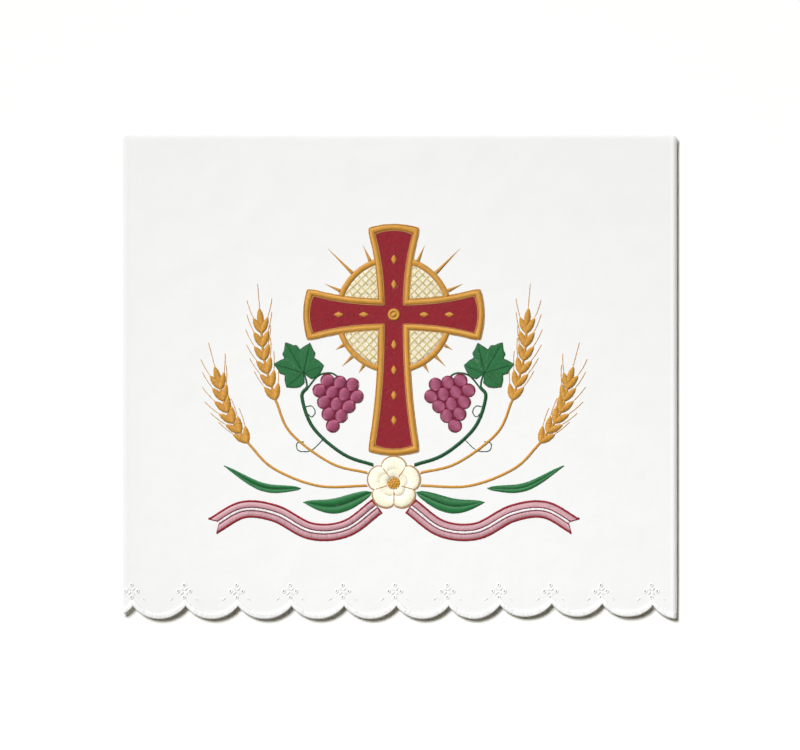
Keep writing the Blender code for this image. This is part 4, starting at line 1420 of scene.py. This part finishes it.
class ALTAR_CLOTH_OT_cross(bpy.types.Operator):
    """Embroiders the cross: filled field, raised border, boss and lozenges"""

    bl_idname = "altar_cloth.cross"
    bl_label = "Cross"

    def execute(self, context):
        looks = context.scene.altar_cloth
        cross, thread = looks.cross, looks.thread
        base = thread.height / 2
        centre = (0.0, cross.height)

        field = Skein(looks, 21)
        loops = [cross_outline(cross, FIELD_TUCK), circle(cross.boss - BOSS_TUCK, centre)]
        field.sew(fill(loops, math.radians(45), thread.spacing, thread.stitch, base))
        field.to_piece("cross_field_stitches", "crimson_thread", "cross_field")

        border = Skein(looks, 22)
        inner = closed(cross_outline(cross, cross.outline_rise))
        outer = closed(cross_outline(cross, cross.border))
        border.sew(band(inner, outer, thread.spacing, cross.pad + base))
        border.to_piece("cross_border_stitches", "gold_thread", "cross_border")

        trim = Skein(looks, 23)
        for grow in (0.0, cross.border + cross.outline_rise):
            route = closed(cross_outline(cross, grow))
            trim.sew(line(route, cross.outline, thread.line_stitch, base + cross.outline_rise))
        trim.to_piece("cross_outline_stitches", "tan_thread", slot="gold_thread")

        boss = Skein(looks, 24)
        core = cross.boss * cross.boss_core
        inner, outer = (closed(circle(radius, centre, 24)) for radius in (core, cross.boss))
        boss.sew(band(inner, outer, thread.spacing, cross.pad + base))
        boss.sew(disc(core, centre, 0.6, thread.spacing, cross.pad + base), tone=0.8)
        boss.to_piece("cross_boss_stitches", "gold_thread", "cross_boss")

        lozenges = Skein(looks, 25)
        along, wide = cross.lozenge, cross.lozenge * cross.lozenge_width
        for reach, turn in cross_arms(cross):
            for place in np.arange(cross.lozenge_start, reach - cross.lozenge_end, cross.lozenge_step):
                left = np.array([(0.0, place - along), (-wide, place), (0.0, place + along)])
                sides = (side @ turn + centre for side in (left, left * (-1.0, 1.0)))
                lozenges.sew(band(*sides, thread.spacing, cross.lozenge_pad))
        lozenges.to_piece("cross_lozenge_stitches", "gold_thread", slot="gold_thread")
        return {"FINISHED"}


class ALTAR_CLOTH_OT_ring(bpy.types.Operator):
    """Embroiders the lattice ground, the ring and its rays, a quarter at a time"""

    bl_idname = "altar_cloth.ring"
    bl_label = "Ring and lattice"

    def execute(self, context):
        looks = context.scene.altar_cloth
        quarters = (
            ("upper", 1.0, looks.cross.arm, UPPER_RAYS),
            ("lower", -1.0, looks.cross.foot, LOWER_RAYS),
        )
        lattice = Skein(looks, 31)
        for height, up, upright_reach, rays in quarters:
            for side, across in (("left", -1.0), ("right", 1.0)):
                place = np.array([across, up])
                self.make_field(looks, f"{height}_{side}", upright_reach, place, lattice)
                self.make_arc(looks, f"{height}_{side}", upright_reach, rays, place)
        lattice.to_piece("lattice_stitches", "straw_thread", slot="gold_thread")
        return {"FINISHED"}

    def make_field(self, looks, where, upright_reach, place, lattice):
        ring, cross, thread = looks.ring, looks.cross, looks.thread
        loop = quadrant_field(cross, ring.field, upright_reach) * place + (0.0, cross.height)
        field = Skein(looks, 32)
        field.sew(fill([loop], math.radians(90), thread.spacing * 1.15, thread.stitch, thread.height * 0.3))
        field.to_piece(f"field_{where}_stitches", "cream_thread", f"field_{where}")
        for heading in np.radians(LATTICE_HEADINGS):
            for step in (-1.0, 1.0):
                shift = np.array([math.sin(heading), -math.cos(heading)]) * step * thread.width * 0.45
                lines = fill([loop - shift], heading, ring.lattice, 2 * ring.lattice, thread.height * 1.1)
                lines[..., :2] += shift
                lattice.sew(lines)

    def make_arc(self, looks, where, upright_reach, rays, place):
        ring, cross, thread = looks.ring, looks.cross, looks.thread
        centre = (0.0, cross.height)
        pad = ring.pad + thread.height / 2
        low, high = sweep_between(cross, (ring.inner + ring.outer) / 2, upright_reach)
        turn = np.linspace(low, high, 24)
        arc = Skein(looks, 33)
        arc.sew(band(polar(ring.inner, turn) * place + centre, polar(ring.outer, turn) * place + centre,
                     thread.spacing, pad))
        for degrees, tip in zip(rays["angle"], rays["tip"]):
            way = math.radians(degrees)
            point = polar(tip, way)
            left, right = polar(ring.outer, way + ring.ray), polar(ring.outer, way - ring.ray)
            arc.sew(band(np.array([left, point]) * place + centre, np.array([right, point]) * place + centre,
                         thread.spacing, pad))
        arc.to_piece(f"ring_{where}_stitches", "gold_thread", f"ring_{where}")


class ALTAR_CLOTH_OT_wheat(bpy.types.Operator):
    """Embroiders the four ears of wheat with their stalks and bristles"""

    bl_idname = "altar_cloth.wheat"
    bl_label = "Wheat"

    def execute(self, context):
        looks = context.scene.altar_cloth
        awns = Skein(looks, 41)
        for place, stalk, ear in (("inner", INNER_STALK, INNER_EAR), ("outer", OUTER_STALK, OUTER_EAR)):
            for side, mirrored in SIDES:
                self.make_ear(looks, f"wheat_{place}_{side}", stalk, ear, mirrored, awns)
        awns.to_piece("wheat_bristles", "gold_thread")
        return {"FINISHED"}

    def make_ear(self, looks, name, stalk, ear, mirrored, awns):
        wheat, thread = looks.wheat, looks.thread
        base = thread.height / 2
        skein = Skein(looks, 42)
        spine = np.vstack([smooth_path(stalk)[:-1], smooth_path(ear)])
        skein.sew(strip(spine, wheat.stalk, thread.spacing, wheat.stalk_pad + base, wheat.stalk_slant),
                  mirrored=mirrored)
        for number, (root, heading, hand) in enumerate(kernel_places(wheat, smooth_path(ear))):
            left, right = kernel_sides(wheat, root, heading)
            first, second = (right, left) if hand < 0 else (left, right)
            skein.sew(band(first, second, thread.spacing, wheat.pad + base, wheat.slant),
                      tone=0.38 + 0.24 * (number % 2), mirrored=mirrored)
            route = self.awn_route(wheat, left[-1], heading, hand)
            awns.sew(line(route, wheat.awn_width, thread.line_stitch * 1.3, base), width=thread.width * 0.85,
                     mirrored=mirrored)
        skein.to_piece(f"{name}_stitches", "gold_thread", name)

    def awn_route(self, wheat, tip, heading, hand):
        """A bristle from a kernel's tip, bending back towards the line of its ear."""
        step = wheat.awn * (1.0 if hand else wheat.tip_awn) / (AWN_POINTS - 1)
        bend = hand * wheat.spread * wheat.awn_bend * np.linspace(0.0, 1.0, AWN_POINTS)
        steps = polar(1.0, heading - bend)[1:] * step
        return tip + np.cumsum(np.vstack([np.zeros((1, 2)), steps]), axis=0)


class ALTAR_CLOTH_OT_vine(bpy.types.Operator):
    """Embroiders the vine stems, tendrils, vine leaves, long leaves and the wheat's blades"""

    bl_idname = "altar_cloth.vine"
    bl_label = "Vine and leaves"

    def execute(self, context):
        looks = context.scene.altar_cloth
        veins = Skein(looks, 51)
        for side, mirrored in SIDES:
            self.make_stem(looks, side, mirrored)
            self.make_vine_leaf(looks, side, mirrored, veins)
            self.make_leaf(looks, f"long_leaf_{side}", LONG_LEAF, looks.vine.long_leaf, mirrored, veins)
            self.make_leaf(looks, f"wheat_blade_{side}", BLADE, looks.vine.blade, mirrored, veins)
            for tendril in TENDRILS:
                stitches = line(smooth_path(tendril, 6), looks.vine.tendril, looks.thread.line_stitch,
                                looks.thread.height * 0.6)
                veins.sew(stitches, mirrored=mirrored)
        veins.to_piece("vein_and_tendril_stitches", "dark_green_thread")
        return {"FINISHED"}

    def make_stem(self, looks, side, mirrored):
        vine, thread = looks.vine, looks.thread
        stem = Skein(looks, 52)
        stem.sew(strip(smooth_path(VINE), vine.stem, thread.spacing, vine.stem_pad, vine.stem_slant),
                 mirrored=mirrored)
        for route in (LEAF_STALK, GRAPE_STALK):
            stem.sew(strip(smooth_path(route), vine.stalk, thread.spacing, vine.stalk_pad, vine.stalk_slant),
                     mirrored=mirrored)
        stem.to_piece(f"vine_stem_{side}_stitches", "dark_green_thread", f"vine_stem_{side}")

    def make_vine_leaf(self, looks, side, mirrored, veins):
        vine, thread = looks.vine, looks.thread
        loop = vine_leaf_loop(vine)
        root = polar(vine.leaf_size * VINE_LEAF["reach"][-1], vine.leaf_turn + math.pi,
                     (vine.leaf_across, vine.leaf_up))
        cuts = [*sorted(LOBE_TIPS + LOBE_NOTCHES), len(VINE_LEAF["angle"]) - 1]
        cuts += [len(loop) - cut for cut in cuts[-1:0:-1]] + [len(loop)]
        tips = {*LOBE_TIPS, *(len(loop) - tip for tip in LOBE_TIPS)}
        whole = closed(loop)
        skein = Skein(looks, 53)
        for start, end in zip(cuts, cuts[1:]):
            if end - start < 2:
                continue
            tip = whole[start] if start in tips else whole[end]
            vein = math.atan2(*(tip - root)[::-1])
            lean = LOBE_LEAN if start in tips else -LOBE_LEAN
            wedge = np.vstack([[root], whole[start:end + 1]])
            skein.sew(fill([wedge], vein + lean, thread.spacing, thread.stitch, thread.height * 0.9),
                      tone=0.40 + 0.2 * (start in tips), mirrored=mirrored)
        skein.to_piece(f"vine_leaf_{side}_stitches", "green_thread", f"vine_leaf_{side}")
        veins.sew(line(whole, vine.vein, thread.line_stitch * 0.8, thread.height), mirrored=mirrored)
        for tip in sorted(tips)[:-1]:
            path = resampled([root, root + (whole[tip] - root) * 0.86], 8)
            veins.sew(line(path, vine.vein * 0.7, thread.line_stitch, thread.height * 1.4), mirrored=mirrored)

    def make_leaf(self, looks, name, points, width, mirrored, veins):
        vine, thread = looks.vine, looks.thread
        spine, left, right = leaf_sides(smooth_path(points, 14), width)
        skein = Skein(looks, 54)
        for edge, tone in ((left, 0.62), (right, 0.34)):
            skein.sew(band(spine, edge, thread.spacing, vine.pad + thread.height / 2, vine.slant),
                      tone=tone, mirrored=mirrored)
        skein.to_piece(f"{name}_stitches", "green_thread", name)
        veins.sew(line(spine, vine.vein * 0.7, thread.line_stitch, thread.height * 1.2), mirrored=mirrored)


class ALTAR_CLOTH_OT_grapes(bpy.types.Operator):
    """Embroiders the two bunches of grapes"""

    bl_idname = "altar_cloth.grapes"
    bl_label = "Grapes"

    def execute(self, context):
        looks = context.scene.altar_cloth
        grapes, thread = looks.grapes, looks.thread
        outlines = Skein(looks, 61)
        centres = grape_centres(grapes)
        around = centres[list(OUTER_GRAPES)]
        for side, mirrored in SIDES:
            bunch = Skein(looks, 62)
            for number, centre in enumerate(centres):
                heading = math.radians(35 + 22 * (number % 3))
                stitches = disc(grapes.radius + grapes.outline / 2, centre, heading, thread.spacing,
                                grapes.pad + thread.height / 2)
                # Painted highlight and shade: each grape's stitches are toned lighter on its side towards the
                # upper left, where the key light comes from, and darker on the far side. The right bunch gets
                # the same tones mirrored.
                painted_light_share = (stitches[:, 2, :2] - centre) @ (-0.7, 0.7) / grapes.radius
                bunch.sew(stitches, tone=0.45 + 0.35 * painted_light_share, mirrored=mirrored)
                ring = closed(circle(grapes.radius + grapes.outline * 0.6, centre, 28))
                outlines.sew(line(ring, grapes.outline, thread.line_stitch * 0.9, thread.height * 1.2),
                             mirrored=mirrored)
            outlines.sew(fill([around], 0.3, thread.spacing, thread.stitch, thread.height * 0.4),
                         mirrored=mirrored)
            bunch.to_piece(f"grapes_{side}_stitches", "mauve_thread", f"grapes_{side}")
        outlines.to_piece("grape_outline_stitches", "wine_thread", slot="crimson_thread")
        return {"FINISHED"}


class ALTAR_CLOTH_OT_rose(bpy.types.Operator):
    """Embroiders the rose in long and short stitches, with its outlines and its knotted centre"""

    bl_idname = "altar_cloth.rose"
    bl_label = "Rose"

    def execute(self, context):
        looks = context.scene.altar_cloth
        rose, thread = looks.rose, looks.thread
        middle = np.array([0.0, rose.height])
        base = thread.height / 2
        turn = np.linspace(0.0, 2 * math.pi, 241)
        reach = rose_reach(rose, turn)
        heading = math.pi / 2 - turn

        petals = Skein(looks, 71)
        for inner, outer, pad, tone in ((0.48, 1.0, rose.pad, 0.75), (0.0, 0.56, rose.pad * 0.7, 0.25)):
            start = polar(np.maximum(reach * inner, rose.centre - NEEDLE_OVERLAP), heading, middle)
            end = polar(reach * outer + NEEDLE_OVERLAP, heading, middle)
            petals.sew(band(start, end, thread.spacing, pad + base), tone=tone)
        petals.to_piece("rose_petal_stitches", "cream_thread", "rose_petals")

        outlines = Skein(looks, 72)
        around = polar(reach + 0.0001, heading, middle)
        outlines.sew(line(around, rose.outline, thread.line_stitch * 0.8, base * 2))
        for petal in range(rose.petals):
            notch = math.pi / 2 - (petal + 0.5) * 2 * math.pi / rose.petals
            path = polar(np.linspace(rose.centre + 0.001, rose.size * rose.heart, 8), notch, middle)
            outlines.sew(line(path, rose.parting, thread.line_stitch, rose.pad + base * 1.6))
        outlines.to_piece("rose_outline_stitches", "tan_thread", slot="gold_thread")

        centre = Skein(looks, 73)
        centre.sew(disc(rose.centre, middle, 0.4, thread.spacing, rose.pad))
        for radius, number in ((0.0, 1), (rose.centre * 0.42, 5), (rose.centre * 0.85, 11)):
            for place in polar(radius, 2 * math.pi * np.arange(number) / number, middle):
                centre.sew(knot(place, rose.knot, rose.knot_height), tone=0.7)
        centre.to_piece("rose_centre_stitches", "gold_thread", "rose_centre")
        return {"FINISHED"}


class ALTAR_CLOTH_OT_ribbon(bpy.types.Operator):
    """Embroiders the two ribbons: pink ground, crimson edges and white stripe"""

    bl_idname = "altar_cloth.ribbon"
    bl_label = "Ribbons"

    def execute(self, context):
        looks = context.scene.altar_cloth
        ribbon, thread = looks.ribbon, looks.thread
        half, stripe = ribbon.width / 2, ribbon.stripe / 2
        edge = half - ribbon.edge
        pad = ribbon.pad + thread.height / 2
        edge_pad = pad + ribbon.edge_rise
        crimson, white, wine = Skein(looks, 81), Skein(looks, 82), Skein(looks, 83)
        for side, mirrored in SIDES:
            pink = Skein(looks, 84)
            for hand in (-1.0, 1.0):
                outer = ribbon_line(ribbon, hand * (edge + 2 * NEEDLE_OVERLAP))
                inner = ribbon_line(ribbon, hand * (stripe - NEEDLE_OVERLAP))
                pink.sew(band(inner, outer, thread.spacing, pad, ribbon.slant), mirrored=mirrored)
                rim = ribbon_line(ribbon, hand * half)
                crimson.sew(band(ribbon_line(ribbon, hand * edge), rim, thread.spacing, edge_pad),
                            mirrored=mirrored)
                wine.sew(line(inner, ribbon.line, thread.line_stitch, pad + 0.0001), mirrored=mirrored)
                for end in (0, -1):
                    cut = resampled([ribbon_line(ribbon, 0.0)[end], rim[end]], 8)
                    crimson.sew(strip(cut, ribbon.edge, thread.spacing, edge_pad), mirrored=mirrored)
            white.sew(band(ribbon_line(ribbon, stripe), ribbon_line(ribbon, -stripe), thread.spacing, pad),
                      mirrored=mirrored)
            pink.to_piece(f"ribbon_{side}_ground_stitches", "pink_thread", f"ribbon_{side}")
        crimson.to_piece("ribbon_edge_stitches", "crimson_thread")
        white.to_piece("ribbon_stripe_stitches", "white_thread")
        wine.to_piece("ribbon_line_stitches", "wine_thread", slot="crimson_thread")
        return {"FINISHED"}


class ALTAR_CLOTH_PT_panel(bpy.types.Panel):
    """Lists the operators that make the altar cloth"""

    bl_idname = "ALTAR_CLOTH_PT_panel"
    bl_label = "Altar Cloth"
    bl_space_type = "VIEW_3D"
    bl_region_type = "UI"
    bl_category = "Altar Cloth"

    def draw(self, context):
        for maker in MAKERS:
            self.layout.operator(maker.bl_idname)


GROUPS = (
    LinenProperties,
    ThreadProperties,
    ColourProperties,
    EdgingProperties,
    EyeletProperties,
    EmblemProperties,
    CrossProperties,
    RingProperties,
    WheatProperties,
    VineProperties,
    GrapesProperties,
    RoseProperties,
    RibbonProperties,
    StageProperties,
    AltarClothProperties,
)
MAKERS = (
    ALTAR_CLOTH_OT_stage,
    ALTAR_CLOTH_OT_linen,
    ALTAR_CLOTH_OT_edging,
    ALTAR_CLOTH_OT_eyelets,
    ALTAR_CLOTH_OT_cross,
    ALTAR_CLOTH_OT_ring,
    ALTAR_CLOTH_OT_wheat,
    ALTAR_CLOTH_OT_vine,
    ALTAR_CLOTH_OT_grapes,
    ALTAR_CLOTH_OT_rose,
    ALTAR_CLOTH_OT_ribbon,
)


def register():
    for kind in (*GROUPS, *MAKERS, ALTAR_CLOTH_PT_panel):
        bpy.utils.register_class(kind)
    bpy.types.Scene.altar_cloth = bpy.props.PointerProperty(type=AltarClothProperties)


def unregister():
    del bpy.types.Scene.altar_cloth
    for kind in reversed((*GROUPS, *MAKERS, ALTAR_CLOTH_PT_panel)):
        bpy.utils.unregister_class(kind)


def main():
    register()
    bpy.ops.altar_cloth.stage()
    bpy.ops.altar_cloth.linen()
    bpy.ops.altar_cloth.edging()
    bpy.ops.altar_cloth.eyelets()
    bpy.ops.altar_cloth.cross()
    bpy.ops.altar_cloth.ring()
    bpy.ops.altar_cloth.wheat()
    bpy.ops.altar_cloth.vine()
    bpy.ops.altar_cloth.grapes()
    bpy.ops.altar_cloth.rose()
    bpy.ops.altar_cloth.ribbon()
    flat_length, flat_area = flat_size(bpy.context.scene.altar_cloth)


if __name__ == "__main__":
    main()
